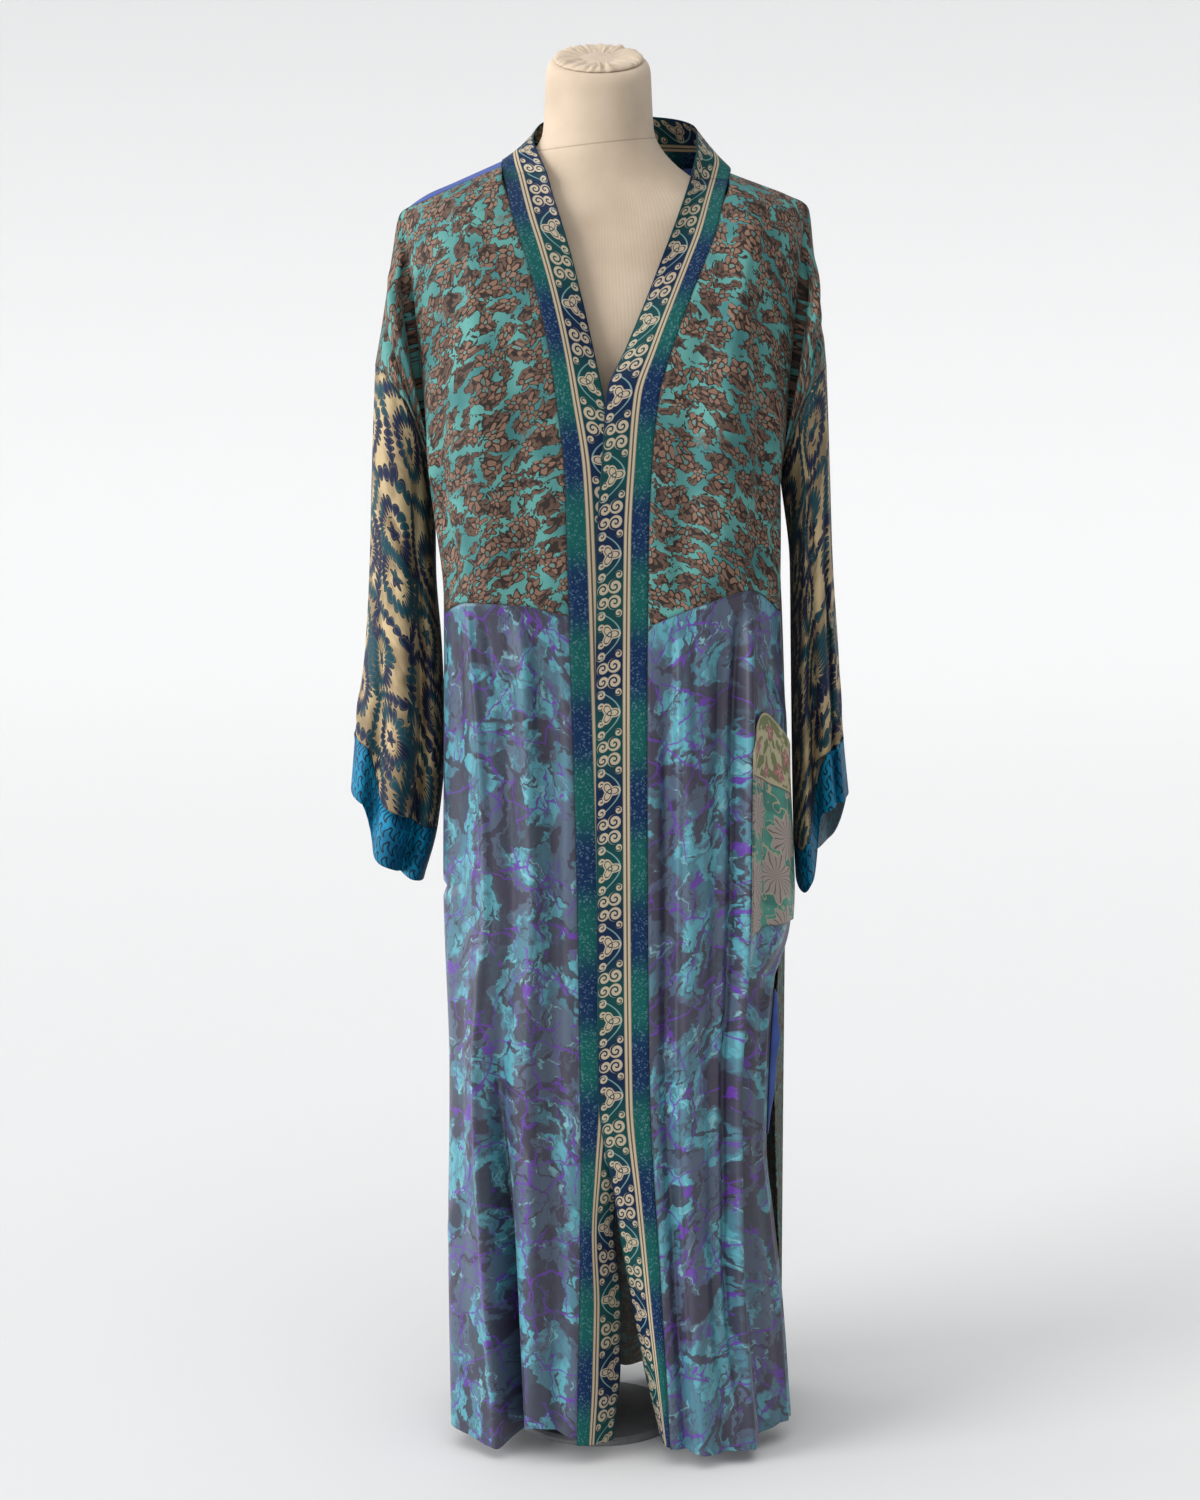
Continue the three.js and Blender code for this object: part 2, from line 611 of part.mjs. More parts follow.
const FORM_LEVELS = [
  FORM_BOTTOM_Z, 776, 830, 930, 1020, 1110, 1190, 1250, 1300, 1330,
  1350, 1366, 1376, 1386, 1396, 1410, 1426, 1440, 1454, 1476,
];
const FORM_SIDES = 28;
const SIDE_NUMBERS = spread(0, FORM_SIDES - 1, FORM_SIDES - 1);
function ringPoint(level, side, halfWidth, front, back, power) {
  const angle = (side / FORM_SIDES) * 2 * Math.PI;
  const reach = (value) => Math.sign(value) * Math.abs(value) ** (2 / power);
  const depth = Math.sin(angle) < 0 ? front : back;
  return new THREE.Vector3(halfWidth * reach(Math.cos(angle)), depth * reach(Math.sin(angle)), level);
}
// Rings stacked from the bottom up, closed by a fan at both ends.
function loft(rings, bottomCentre, topCentre) {
  const count = rings[0].length;
  const positions = [...rings.flat(), bottomCentre, topCentre].flatMap((p) => [p.x, p.y, p.z]);
  const bottom = rings.length * count;
  const faces = [];
  for (let side = 0; side < count; side += 1) {
    const next = (side + 1) % count;
    for (let ring = 0; ring < rings.length - 1; ring += 1) {
      const [a, b] = [ring * count + side, ring * count + next];
      faces.push(a, b, b + count, a, b + count, a + count);
    }
    const top = (rings.length - 1) * count;
    faces.push(bottom, next, side, bottom + 1, top + side, top + next);
  }
  return solid(positions, faces);
}
function neckTopRing({ radius, rise }) {
  return SIDE_NUMBERS.map((side) => {
    const point = ringPoint(0, side, radius, radius, radius, 2);
    return point.setZ(NECK_TOP_Z + rise + NECK_TOP_SLOPE * point.y);
  });
}
// Rims of the neck's top and of the gathered cap on it: radius, and height over the slanting top.
const NECK_RIM = [
  { radius: NECK_HALF_WIDTH - 0.5, rise: -16 },
  { radius: NECK_HALF_WIDTH - 2.5, rise: -7 },
  { radius: NECK_HALF_WIDTH - 6, rise: -1.5 },
  { radius: CAP_RADIUS - 2, rise: 0 },
];
const CAP_RIM = [
  { radius: CAP_RADIUS - 5, rise: SEAM_GAP },
  { radius: CAP_RADIUS - 1, rise: 3 },
  { radius: CAP_RADIUS - 3, rise: 7 },
  { radius: CAP_RADIUS - 14, rise: 8.5 },
  { radius: 20, rise: 6 },
];
const CAP_MIDDLE_RISE = 5;
function formTorso() {
  const ring = (z) => SIDE_NUMBERS.map((side) =>
    ringPoint(z, side, FORM.halfWidth(z), FORM.front(z), FORM.back(z), FORM.power(z)));
  const rings = [...FORM_LEVELS.map(ring), ...NECK_RIM.map(neckTopRing)];
  return loft(rings, new THREE.Vector3(0, 0, FORM_BOTTOM_Z), new THREE.Vector3(0, 0, NECK_TOP_Z));
}
function neckCap() {
  const bottom = new THREE.Vector3(0, 0, NECK_TOP_Z + SEAM_GAP);
  const top = new THREE.Vector3(0, 0, NECK_TOP_Z + CAP_MIDDLE_RISE);
  return loft(CAP_RIM.map(neckTopRing), bottom, top);
}
function lathe(profile) {
  const points = profile.map(([radius, z]) => new THREE.Vector2(radius, z));
  return new THREE.LatheGeometry(points, 36).rotateX(Math.PI / 2);
}

// ---- the pocket -----------------------------------------------------------------------------------------
// A patch pocket on the left front by the side seam; its mouth slants up to a point and it is pieced in two.
const POCKET = {
  lift: CLOTH + 1.2,
  bottomZ: 602,
  mouth: table(['feature', 'z'], [[1.9, 788], [2.3, 842], [3, 797], [3.7, 776]]),
  joint: table(['feature', 'z'], [[1.9, 782], [2.3, 770], [3, 742], [3.7, 720]]),
};
function pocketPiece(topZ, bottomZ) {
  return (u, v) => {
    const z = lerp(topZ(u), bottomZ(u), v);
    return through(frontFeatures('left', z), u);
  };
}

// ---- the scene graph ------------------------------------------------------------------------------------
function finish(color, roughness, metalness = 0) {
  return new THREE.MeshStandardMaterial({ color, roughness, metalness });
}
const kimono = new THREE.Group();
function add(name, geometry, material) {
  const mesh = new THREE.Mesh(geometry, material);
  mesh.name = name;
  kimono.add(mesh);
}

const FINISH = {
  paisley: finish('#5b6a5c', 0.7),
  marbled: finish('#4f7f94', 0.42),
  periwinkle: finish('#4a68b0', 0.6),
  brown: finish('#4a4034', 0.7),
  scrolls: finish('#a99878', 0.65),
  cuff: finish('#137699', 0.6),
  trim: finish('#1d5c78', 0.5),
  pocket: finish('#5f9c8c', 0.6),
  jersey: finish('#d8c9b0', 0.85),
  wood: finish('#8a6a48', 0.6),
  metal: finish('#6f6f70', 0.35, 0.9),
};

const FRONT_FEATURES = spread(0.006, 3.985, 22);
const SLEEVE_TURNS = spread(0, 340, 17);
// Rows of an upper: close together over the shoulder, then at the sleeve's own turns, then down to the waist.
const ARMHOLE_ROWS = spread(1 / 9, 1, 8).map((turn) => turn * ARMHOLE_SHARE);
const UPPER_ROWS = [0.001, 0.012, 0.028, 0.05, ...ARMHOLE_ROWS, 0.81, 0.9, 0.998];
const SEAM_INSET = 0.04;       // in features, at the long seams of the uppers
for (const side of ['right', 'left']) {
  const folds = (part) => FOLDS[part + (side === 'right' ? 'Right' : 'Left')];
  const outward = side === 'right' ? 1 : -1;
  add(`front_upper_${side}`, cloth(frontUpper(side), spread(0.012, UPPER_LAST - SEAM_INSET, 19), UPPER_ROWS,
    { outward, folds: folds('frontUpper') }), FINISH.paisley);
  add(`front_lower_${side}`, cloth(frontLower(side), FRONT_FEATURES, spread(0.001, 1, 11),
    { outward, folds: folds('frontLower') }), FINISH.marbled);
  add(`sleeve_${side}`, cloth(sleeve(side, GROOVES[side]), SLEEVE_TURNS, spread(0.0025, 0.9985, 7),
    { closed: true }), FINISH.scrolls);
  add(`cuff_${side}`, cloth(sleeve(side, GROOVES[side]), SLEEVE_TURNS, spread(1.0015, 1.2, 2),
    { closed: true }), FINISH.cuff);
  add(`band_${side}`, cloth(frontBand(side), BAND_ACROSS,
    [...spread(24, 420, 8), ...spread(500, 1040, 6), ...spread(1090, BAND_TOP_Z[side], 10)]), FINISH.trim);
}
add('back_upper', cloth(backUpper, spread(SEAM_INSET, BACK_UPPER_LAST - SEAM_INSET, 32), UPPER_ROWS,
  { folds: FOLDS.backUpper }), FINISH.periwinkle);
add('back_lower', cloth(backLower, spread(0.02, BACK_LAST - 0.02, 34), spread(0.001, 1, 11),
  { folds: FOLDS.backLower }), FINISH.brown);
add('band_neck', cloth(neckBand, [0.02, 0.5, 1], spread(0.004, 0.996, 16)), FINISH.trim);
const pocketFeatures = FRONT_FEATURES.slice(11, 19);
const pocketFit = { outward: -1, lift: POCKET.lift, folds: FOLDS.frontLowerLeft };
add('pocket_flap', cloth(pocketPiece(POCKET.mouth.z, (u) => POCKET.joint.z(u) + SEAM_GAP), pocketFeatures,
  spread(0, 1, 2), pocketFit), FINISH.pocket);
add('pocket_bag', cloth(pocketPiece(POCKET.joint.z, () => POCKET.bottomZ), pocketFeatures, spread(0, 1, 4),
  pocketFit), FINISH.pocket);
add('form_torso', formTorso(), FINISH.jersey);
add('neck_cap', neckCap(), FINISH.jersey);
const poleBottom = BASE_HEIGHT + SEAM_GAP;
const poleTop = FORM_BOTTOM_Z - SEAM_GAP;
add('stand_pole', lathe([
  [0, poleBottom],
  [POLE_RADIUS, poleBottom],
  [POLE_RADIUS, poleTop],
  [0, poleTop],
]), FINISH.wood);
add('stand_base', lathe([
  [0, 0],
  [BASE_RADIUS - 1, 0],
  [BASE_RADIUS, 1],
  [BASE_RADIUS, BASE_HEIGHT - 4],
  [BASE_RADIUS - 4, BASE_HEIGHT - 1],
  [30, BASE_HEIGHT],
  [0, BASE_HEIGHT],
]), FINISH.metal);

export default kimono;
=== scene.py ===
"""A patchwork kimono robe on a limbless dress form: the finished cloth, its prints and the stand."""

import json
import logging
import math
from dataclasses import dataclass, field
from enum import Enum
from functools import partial
from typing import Callable, Sequence

import bmesh
import bpy
import numpy as np
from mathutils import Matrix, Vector

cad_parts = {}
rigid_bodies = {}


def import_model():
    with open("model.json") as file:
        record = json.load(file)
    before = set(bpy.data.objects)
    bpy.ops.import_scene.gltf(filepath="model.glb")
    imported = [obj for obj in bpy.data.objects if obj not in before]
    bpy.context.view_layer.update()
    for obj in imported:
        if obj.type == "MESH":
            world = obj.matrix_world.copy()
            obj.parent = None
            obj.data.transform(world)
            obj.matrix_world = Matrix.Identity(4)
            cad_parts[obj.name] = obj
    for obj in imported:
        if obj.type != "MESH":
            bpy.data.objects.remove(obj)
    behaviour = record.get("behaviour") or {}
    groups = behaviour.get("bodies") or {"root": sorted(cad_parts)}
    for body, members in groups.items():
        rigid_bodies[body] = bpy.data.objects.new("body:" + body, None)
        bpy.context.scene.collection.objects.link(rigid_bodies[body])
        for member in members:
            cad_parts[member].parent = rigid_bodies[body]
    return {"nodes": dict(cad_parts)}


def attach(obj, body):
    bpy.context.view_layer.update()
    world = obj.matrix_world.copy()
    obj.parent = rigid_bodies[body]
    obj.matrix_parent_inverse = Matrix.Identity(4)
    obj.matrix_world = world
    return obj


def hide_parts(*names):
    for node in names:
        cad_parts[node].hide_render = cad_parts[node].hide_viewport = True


LOG = logging.getLogger("kimono")
MM = 0.001
CLOTH_WALL = 1.0  # mm, printed silk and crepe with its seam allowances pressed flat
UNDERARM_Z = 1085.0
FRONT_Y = 147.0
LAP = 7.0
SLIT_TOP_Z = 600.0
FORM_BOTTOM_Z = 762.0
NECK_HALF_WIDTH = 57.0
NECK_TOP_Z = 1530.0
NECK_TOP_SLOPE = 0.34

Array = np.ndarray
Surface = Callable[[Array, Array], Array]


class Side(Enum):
    """A side of the wearer, with the sign of its X."""

    RIGHT = -1
    LEFT = 1

    @property
    def word(self) -> str:
        """The side's word in piece names."""
        return self.name.lower()


# ---- curves and tables -------------------------------------------------------------------------------------


class Curve:
    """A line through rows of numbers that never swings past a row's value."""

    def __init__(self, at: Sequence[float], value: Sequence[float]) -> None:
        """Keeps the rows and works out the slope at each.

        Args:
            at: places of the rows, rising.
            value: the rows' values.
        """
        self.at = np.array(at, float)
        self.value = np.array(value, float)
        step = np.diff(self.at)
        slope = np.diff(self.value) / step
        tangent = np.concatenate([slope[:1], slope[1:] * 0, slope[-1:]])
        near, far = 2 * step[1:] + step[:-1], step[1:] + 2 * step[:-1]
        same = slope[:-1] * slope[1:] > 0
        a, b = np.where(same, slope[:-1], 1), np.where(same, slope[1:], 1)
        tangent[1:-1] = np.where(same, (near + far) / (near / a + far / b), 0)
        self.tangent = tangent

    def __call__(self, x: Array) -> Array:
        """The curve's value at each x.

        Args:
            x: places along the line.

        Returns:
            The line's value at each.
        """
        x = np.clip(x, self.at[0], self.at[-1])
        i = np.clip(np.searchsorted(self.at, x) - 1, 0, len(self.at) - 2)
        h = self.at[i + 1] - self.at[i]
        t = (x - self.at[i]) / h
        rise = self.value[i] * (1 + 2 * t) * (1 - t) ** 2 + self.value[i + 1] * t * t * (3 - 2 * t)
        return rise + h * t * (1 - t) * (self.tangent[i] * (1 - t) - self.tangent[i + 1] * t)


def table(columns: str, rows: Sequence[Sequence[float]]) -> dict[str, Curve]:
    """Named columns over the rows' first number.

    Args:
        columns: the columns' names, the first of which the rows run along.
        rows: one row per place.

    Returns:
        A curve for each column.
    """
    ordered = np.array(sorted(rows), float).T
    return {name: Curve(ordered[0], ordered[i]) for i, name in enumerate(columns.split())}


def lerp(a: Array, b: Array, t: Array) -> Array:
    """The value a share t of the way from a to b."""
    return a + (b - a) * t


def smooth(low: float, high: float, x: Array) -> Array:
    """0 below low, 1 above high and an even slope between them."""
    t = np.clip((x - low) / (high - low), 0, 1)
    return t * t * (3 - 2 * t)


def bell(distance: Array) -> Array:
    """A round hump, 1 at 0."""
    return np.exp(-(distance**2))


def points(x: Array, y: Array, z: Array) -> Array:
    """Columns of x, y and z side by side, as rows of points."""
    return np.stack(np.broadcast_arrays(x, y, z), axis=-1).astype(float)


def through(features: Sequence[Array], k: Array) -> Array:
    """A smooth line through each row of feature points that never swings past a feature.

    Args:
        features: the features in order, each one point per row.
        k: the feature number wanted in each row.

    Returns:
        One point per row.
    """
    f = np.stack(features)
    step = np.diff(f, axis=0)
    before, after = np.concatenate([step[:1], step]), np.concatenate([step, step[-1:]])
    both = before * after
    tangent = np.where(both > 0, 2 * both / np.where(both > 0, before + after, 1), 0)
    i = np.clip(np.floor(k).astype(int), 0, len(f) - 2)
    row = np.arange(len(k))
    t = (k - i)[:, None]
    start, rise, m0, m1 = f[i, row], step[i, row], tangent[i, row], tangent[i + 1, row]
    return start + m0 * t + (3 * rise - 2 * m0 - m1) * t**2 + (m0 + m1 - 2 * rise) * t**3


# ---- the garment's measures, in mm -------------------------------------------------------------------------

BAND = {
    Side.RIGHT: table("z outer_x outer_y inner_x inner_y", [
        (26, -24, -147, 16, -128), (100, -23, -147, 24, -118), (182, -21, -147, 25, -116),
        (268, -20, -147, 17, -126), (340, -19, -147, 26, -136), (440, -20, -147, 42, -145),
        (640, -23, -147, 40, -146), (860, -29, -147, 34, -146), (1010, -33, -146, 29, -145),
        (1100, -36, -144, 22, -143), (1180, -45, -138, 5, -134), (1226, -52, -129, -5, -120),
        (1287, -66, -113, -19, -107), (1330, -79, -99, -30, -99), (1366, -91, -84, -41, -91),
        (1390, -97, -65, -49, -80), (1412, -103, -34, -55, -71),
    ]),
    Side.LEFT: table("z outer_x outer_y inner_x inner_y", [
        (26, 79, -152, 68, -106), (87, 76, -153, 54, -112), (184, 70, -154, 36, -122),
        (268, 65, -154, 23, -139), (310, 62, -154, 17, -147), (421, 56, -154, 0, -153),
        (640, 53, -154, -2, -154), (860, 52, -154, -3, -154), (1030, 53, -153, -2, -153),
        (1118, 57, -150, 4, -150), (1180, 64, -142, 8, -140), (1226, 77, -131, 28, -122),
        (1283, 98, -111, 52, -106), (1317, 112, -97, 65, -99), (1350, 125, -80, 78, -90),
        (1382, 133, -55, 90, -74), (1405, 140, -22, 98, -50),
    ]),
}
BODY = {
    Side.RIGHT: table("z crease_x crease_y corner_x corner_y seam_x seam_y back_x back_y", [
        (12, 112, -132, 166, -84, 160, 14, 150, 98), (220, 124, -132, 168, -76, 160, 12, 152, 94),
        (440, 133, -132, 165, -74, 159, 8, 154, 90), (640, 119, -134, 170, -74, 159, 4, 156, 86),
        (800, 124, -137, 168, -76, 160, 0, 158, 84), (960, 138, -136, 166, -86, 161, 0, 160, 78),
        (UNDERARM_Z, 152, -124, 183, -86, 176, 0, 174, 74),
    ]),
    Side.LEFT: table("z crease_x crease_y corner_x corner_y seam_x seam_y back_x back_y", [
        (12, 172, -138, 214, -84, 216, 22, 216, 100), (220, 152, -140, 196, -92, 204, -30, 216, 98),
        (440, 148, -140, 192, -96, 196, -54, 216, 96), (540, 153, -140, 200, -84, 199, -52, 216, 97),
        (640, 158, -140, 207, -72, 210, 2, 216, 98),
        (800, 158, -140, 205, -74, 205, -4, 213, 98), (960, 160, -136, 195, -84, 200, -2, 206, 92),
        (UNDERARM_Z, 166, -124, 196, -86, 196, 0, 194, 76),
    ]),
}
SLEEVE = {
    Side.RIGHT: table("along outer_x outer_z inner_x inner_z depth", [
        (0, 242, 1207, 180, 1083, 80), (0.25, 247, 1096, 180, 985, 84), (0.5, 251, 990, 174, 890, 86),
        (0.75, 257, 900, 171, 795, 84), (1, 269, 806, 180, 696, 78), (1.2, 275, 742, 196, 636, 72),
    ]),
    Side.LEFT: table("along outer_x outer_z inner_x inner_z depth", [
        (0, 247, 1207, 200, 1083, 80), (0.25, 252, 1096, 212, 985, 82), (0.5, 257, 990, 214, 890, 82),
        (0.75, 264, 900, 216, 790, 80), (1, 271, 802, 219, 676, 74), (1.2, 278, 736, 222, 628, 70),
    ]),
}
SLANT = {
    Side.RIGHT: table("angle share", [
        (0, 0), (30, 0.06), (54, 0.12), (70, 0.6), (100, 0.78), (140, 0.94), (180, 1), (270, 0.5), (360, 0),
    ]),
    Side.LEFT: table("angle share", [
        (0, 0), (60, 0.06), (96, 0.16), (116, 0.85), (142, 1), (180, 0.95), (300, 0.6), (360, 0),
    ]),
}
NECK_BAND = table("turn outer_x outer_y outer_z inner_x inner_y inner_z", [
    (0, -102, -41, 1410, -55, -72, 1410), (0.08, -104, -22, 1420, -62, -50, 1426),
    (0.18, -103, 16, 1426, -70, -8, 1448), (0.32, -80, 74, 1422, -62, 54, 1466),
    (0.5, 16, 101, 1418, 18, 88, 1476), (0.68, 98, 78, 1418, 82, 64, 1471),
    (0.82, 138, 34, 1421, 106, 26, 1458), (0.92, 142, -8, 1415, 105, -22, 1436),
    (1, 139, -30, 1404, 97, -58, 1404),
])
BACK = table("z centre_y", [
    (12, 128), (440, 124), (760, 134), (960, 116), (UNDERARM_Z, 110),
])
SLIT_EDGE = table("z edge_x edge_y", [
    (12, 219, -58), (175, 206, -66), (260, 196, -72), (354, 186, -82), (443, 188, -78),
    (520, 193, -65), (SLIT_TOP_Z, 205, -21),
])
CHEST = table("drop front back", [
    (0, 0, 0), (8, 30, 38), (17, 52, 58), (35, 72, 76), (60, 88, 88), (100, 103, 98), (150, 119, 104),
    (190, 130, 106), (232, 139, 106), (272, 144, 105), (330, 148, 104),
])
DROPPED = table("turn valley_x valley_y valley_z lobe_x lobe_y lobe_z side_x side_y side_z", [
    (0, 214, 0, 1368, 223, 0, 1325, 232, 0, 1268), (0.25, 207, 40, 1300, 220, 54, 1278, 230, 62, 1245),
    (0.5, 198, 50, 1225, 206, 80, 1218, 211, 85, 1199),
    (0.75, 187, 52, 1150, 189, 68, 1141, 188, 66, 1131),
    (1, 178, 44, UNDERARM_Z, 176, 30, UNDERARM_Z, 175, 15, UNDERARM_Z),
])
FORM = table("z half_width front back power", [
    (FORM_BOTTOM_Z, 138, 88, 84, 2.3), (776, 146, 94, 92, 2.4), (830, 148, 96, 98, 2.4),
    (930, 134, 92, 88, 2.4), (1020, 120, 86, 76, 2.3), (1110, 136, 100, 78, 2.4),
    (1190, 154, 106, 82, 2.4), (1250, 168, 100, 84, 2.4), (1300, 176, 90, 80, 2.4),
    (1346, 178, 80, 70, 2.3), (1366, 170, 76, 66, 2.2), (1380, 150, 73, 63, 2.1),
    (1396, 120, 69, 60, 2), (1410, 96, 66, 58, 2), (1426, 77, 63, 57, 2), (1440, 66, 60, 56, 2),
    (1454, 60, 58, 56, 2), (1500, NECK_HALF_WIDTH, 56, 56, 2),
])


@dataclass(frozen=True)
class Fold:
    """A long upright trough, or a ridge if its depth is negative, at a feature number; heights are in mm."""

    k: float
    width: float
    depth: float
    bottom: float
    top: float
    fade: float = 120.0


@dataclass(frozen=True)
class Crease:
    """A short soft crease between two places, each a feature number and a height; width and depth in mm."""

    k0: float
    z0: float
    k1: float
    z1: float
    width: float
    depth: float


WAIST = {
    Side.RIGHT: table("k z", [(0, 947), (1, 959), (2, 961), (3, 945), (4, 950)]),
    Side.LEFT: table("k z", [(0, 937), (1, 959), (2, 974), (3, 946), (4, 950)]),
}
HEM = {
    Side.RIGHT: table("k z", [(0, 30), (1, 44), (1.8, 24), (2, 14), (3, 26), (4, 24)]),
    Side.LEFT: table("k z", [(0, 22), (1, 17), (2, 17), (3, 26), (4, 24)]),
}
TURNED_TOP_Z, TURNED_BOTTOM_Z, TURNED_WIDTH = 522.0, 362.0, 8.0
BACK_WAIST_Z = 950.0
BACK_HEM_Z = 20.0
BACK_SHARE = (0, 0.2, 0.42, 0.72, 1)
BACK_LAST = 10


@dataclass(frozen=True)
class Shoulder:
    """Where an upper front and the back begin over one shoulder, in mm."""

    line_x: tuple[float, ...]
    line_z: tuple[float, ...]
    tip_z: float
    seam_drop: float
    out_tip: float = 0.0
    out_armhole: float = 0.0
    out_underarm: float = 0.0


SHOULDER = {
    Side.RIGHT: Shoulder((103, 126, 154, 188), (1424, 1414, 1402, 1387), 1368, 6),
    Side.LEFT: Shoulder((140, 156, 178, 204), (1412, 1406, 1398, 1388), 1375, 0.5, 12, 5, 20),
}
CHEST_SHARE = (1, 0.98, 0.88, 0.64)
UNDERARM_TUCK = 4.0  # mm that the shoulder's edge draws in under the arm
FOLD_GAP = 0.2  # mm left between the dropped shoulder's two layers and the middle plane
SLIT_EASE = 70.0  # mm of height over which the side slit opens
CORNER_TUCK = (14, 22)  # mm that the front's corner lies inside and before the slit's edge, at least
SLEEVE_BLUNTNESS = 0.86  # power that squares the sleeve's oval; 1 leaves it round
ARMHOLE_SHARE = 0.72  # how far down an upper panel its armhole ends
BELOW_ARMHOLE = (0.46, 0.64, 0.82, 1)  # share of the way to the side seam of the features past the armhole
UPPER_LAST = 7
BACK_UPPER_LAST = 18
NECK_EDGE_TURNS = (0.18, 0.32, 0.5)
BACK_UPPER_PLACES = (1, 2, 3, 3.5, 4, 5)

# ---- the cloth's surfaces ----------------------------------------------------------------------------------


def front_features(side: Side, z: Array) -> list[Array]:
    """Trim, middle, crease, corner and side edge of a hanging front at each height.

    Args:
        side: which front.
        z: heights in mm.

    Returns:
        The five features, each one point per height.
    """
    band, body = BAND[side], BODY[side]
    plane = -(FRONT_Y + LAP) if side is Side.LEFT else -FRONT_Y
    edge = points(band["outer_x"](z), np.maximum(band["outer_y"](z), plane), z)
    crease = points(side.value * body["crease_x"](z), body["crease_y"](z), z)
    corner = points(side.value * body["corner_x"](z), body["corner_y"](z), z)
    seam = points(side.value * body["seam_x"](z), body["seam_y"](z), z)
    middle = points(lerp(edge[:, 0], crease[:, 0], 0.5), lerp(edge[:, 1], plane, 0.6), z)
    if side is Side.LEFT:
        open_share = 1 - smooth(SLIT_TOP_Z - SLIT_EASE, SLIT_TOP_Z, z)
        slit = points(SLIT_EDGE["edge_x"](z), SLIT_EDGE["edge_y"](z), z)
        seam = lerp(seam, slit, open_share[:, None])
        tucked = np.minimum(corner[:, :2], seam[:, :2] - CORNER_TUCK)
        corner[:, :2] = lerp(corner[:, :2], tucked, open_share[:, None])
    return [edge, middle, crease, corner, seam]


def back_features(z: Array) -> list[Array]:
    """The back's features at each height, from the right side seam round to the left one.

    Args:
        z: heights in mm.

    Returns:
        Eleven features, each one point per height.
    """
    seams, corners = {}, {}
    for side in Side:
        body = BODY[side]
        seams[side] = points(side.value * body["seam_x"](z), body["seam_y"](z), z)
        corners[side] = points(side.value * body["back_x"](z), body["back_y"](z), z)
    centre_x = (corners[Side.RIGHT][:, 0] + corners[Side.LEFT][:, 0]) / 2
    centre_y = BACK["centre_y"](z)

    def half(side: Side) -> list[Array]:
        """The back corner to the centre on one side.

        Args:
            side: which side.

        Returns:
            Its features, each one point per height.
        """
        x, y = corners[side][:, 0], corners[side][:, 1]
        return [
            points(lerp(x, centre_x, share), lerp(y, centre_y, 1 - (1 - share) ** 2.2), z)
            for share in BACK_SHARE
        ]

    right, left = half(Side.RIGHT), half(Side.LEFT)
    return [seams[Side.RIGHT], *right, *left[-2::-1], seams[Side.LEFT]]


def front_lower(side: Side) -> Surface:
    """A lower front: u over its features from the trim, v from the waist seam down to the hem."""
    return lambda u, v: through(front_features(side, lerp(WAIST[side]["z"](u), HEM[side]["z"](u), v)), u)


def turned_slit_edge(u: Array, v: Array) -> Array:
    """The slit's edge turned outward: u across from the front's edge, v down it.

    Args:
        u: share of the way across from the front's edge.
        v: share of the way down.

    Returns:
        The points.
    """
    z = lerp(TURNED_TOP_Z, TURNED_BOTTOM_Z, v)
    turned = 1 + TURNED_WIDTH * np.sin(np.pi * np.clip(v, 0, 1) ** 0.7) * (1 + 0.12 * np.sin(z / 9))
    return points(SLIT_EDGE["edge_x"](z) + 1.2 + turned * u, SLIT_EDGE["edge_y"](z) + 4 * u * u, z)


def back_lower(u: Array, v: Array) -> Array:
    """The lower back: u over its features, v from the waist seam down to the hem."""
    return through(back_features(lerp(BACK_WAIST_Z, BACK_HEM_Z, v)), u)


def sleeve(side: Side, grooves: Sequence["Groove"] = ()) -> Surface:
    """A sleeve and its cuff.

    Args:
        side: which sleeve.
        grooves: the hollows down its length.

    Returns:
        A surface whose u is degrees round from the outside through the front, and v the length: 0 at the
        armhole, 1 at the cuff seam and 1.2 at the cuff's hem.
    """
    row = SLEEVE[side]

    def surface(u: Array, v: Array) -> Array:
        """The points at each u and v.

        Args:
            u: degrees round.
            v: length from the armhole.

        Returns:
            The points.
        """
        angle = np.radians(u)
        level = ((1 - np.cos(angle)) / 2) ** 2
        slant = lerp(level, SLANT[side]["share"](u % 360), smooth(0.1, 0.7, v))
        centre = (row["outer_x"](v) + row["inner_x"](v)) / 2
        radius = (row["outer_x"](v) - row["inner_x"](v)) / 2
        along = np.sign(np.cos(angle)) * np.abs(np.cos(angle)) ** SLEEVE_BLUNTNESS
        across = np.sign(np.sin(angle)) * np.abs(np.sin(angle)) ** SLEEVE_BLUNTNESS
        depth, pinch = row["depth"](v), 0 * u
        for g in grooves:
            pinch = pinch + g.depth * bell((u - g.angle) / g.width) * smooth(g.start, g.end, v)
        shrink = 1 - pinch / depth
        x = side.value * (centre + radius * along * lerp(1, shrink, 0.5))
        return points(x, -depth * across * shrink, lerp(row["outer_z"](v), row["inner_z"](v), slant))

    return surface


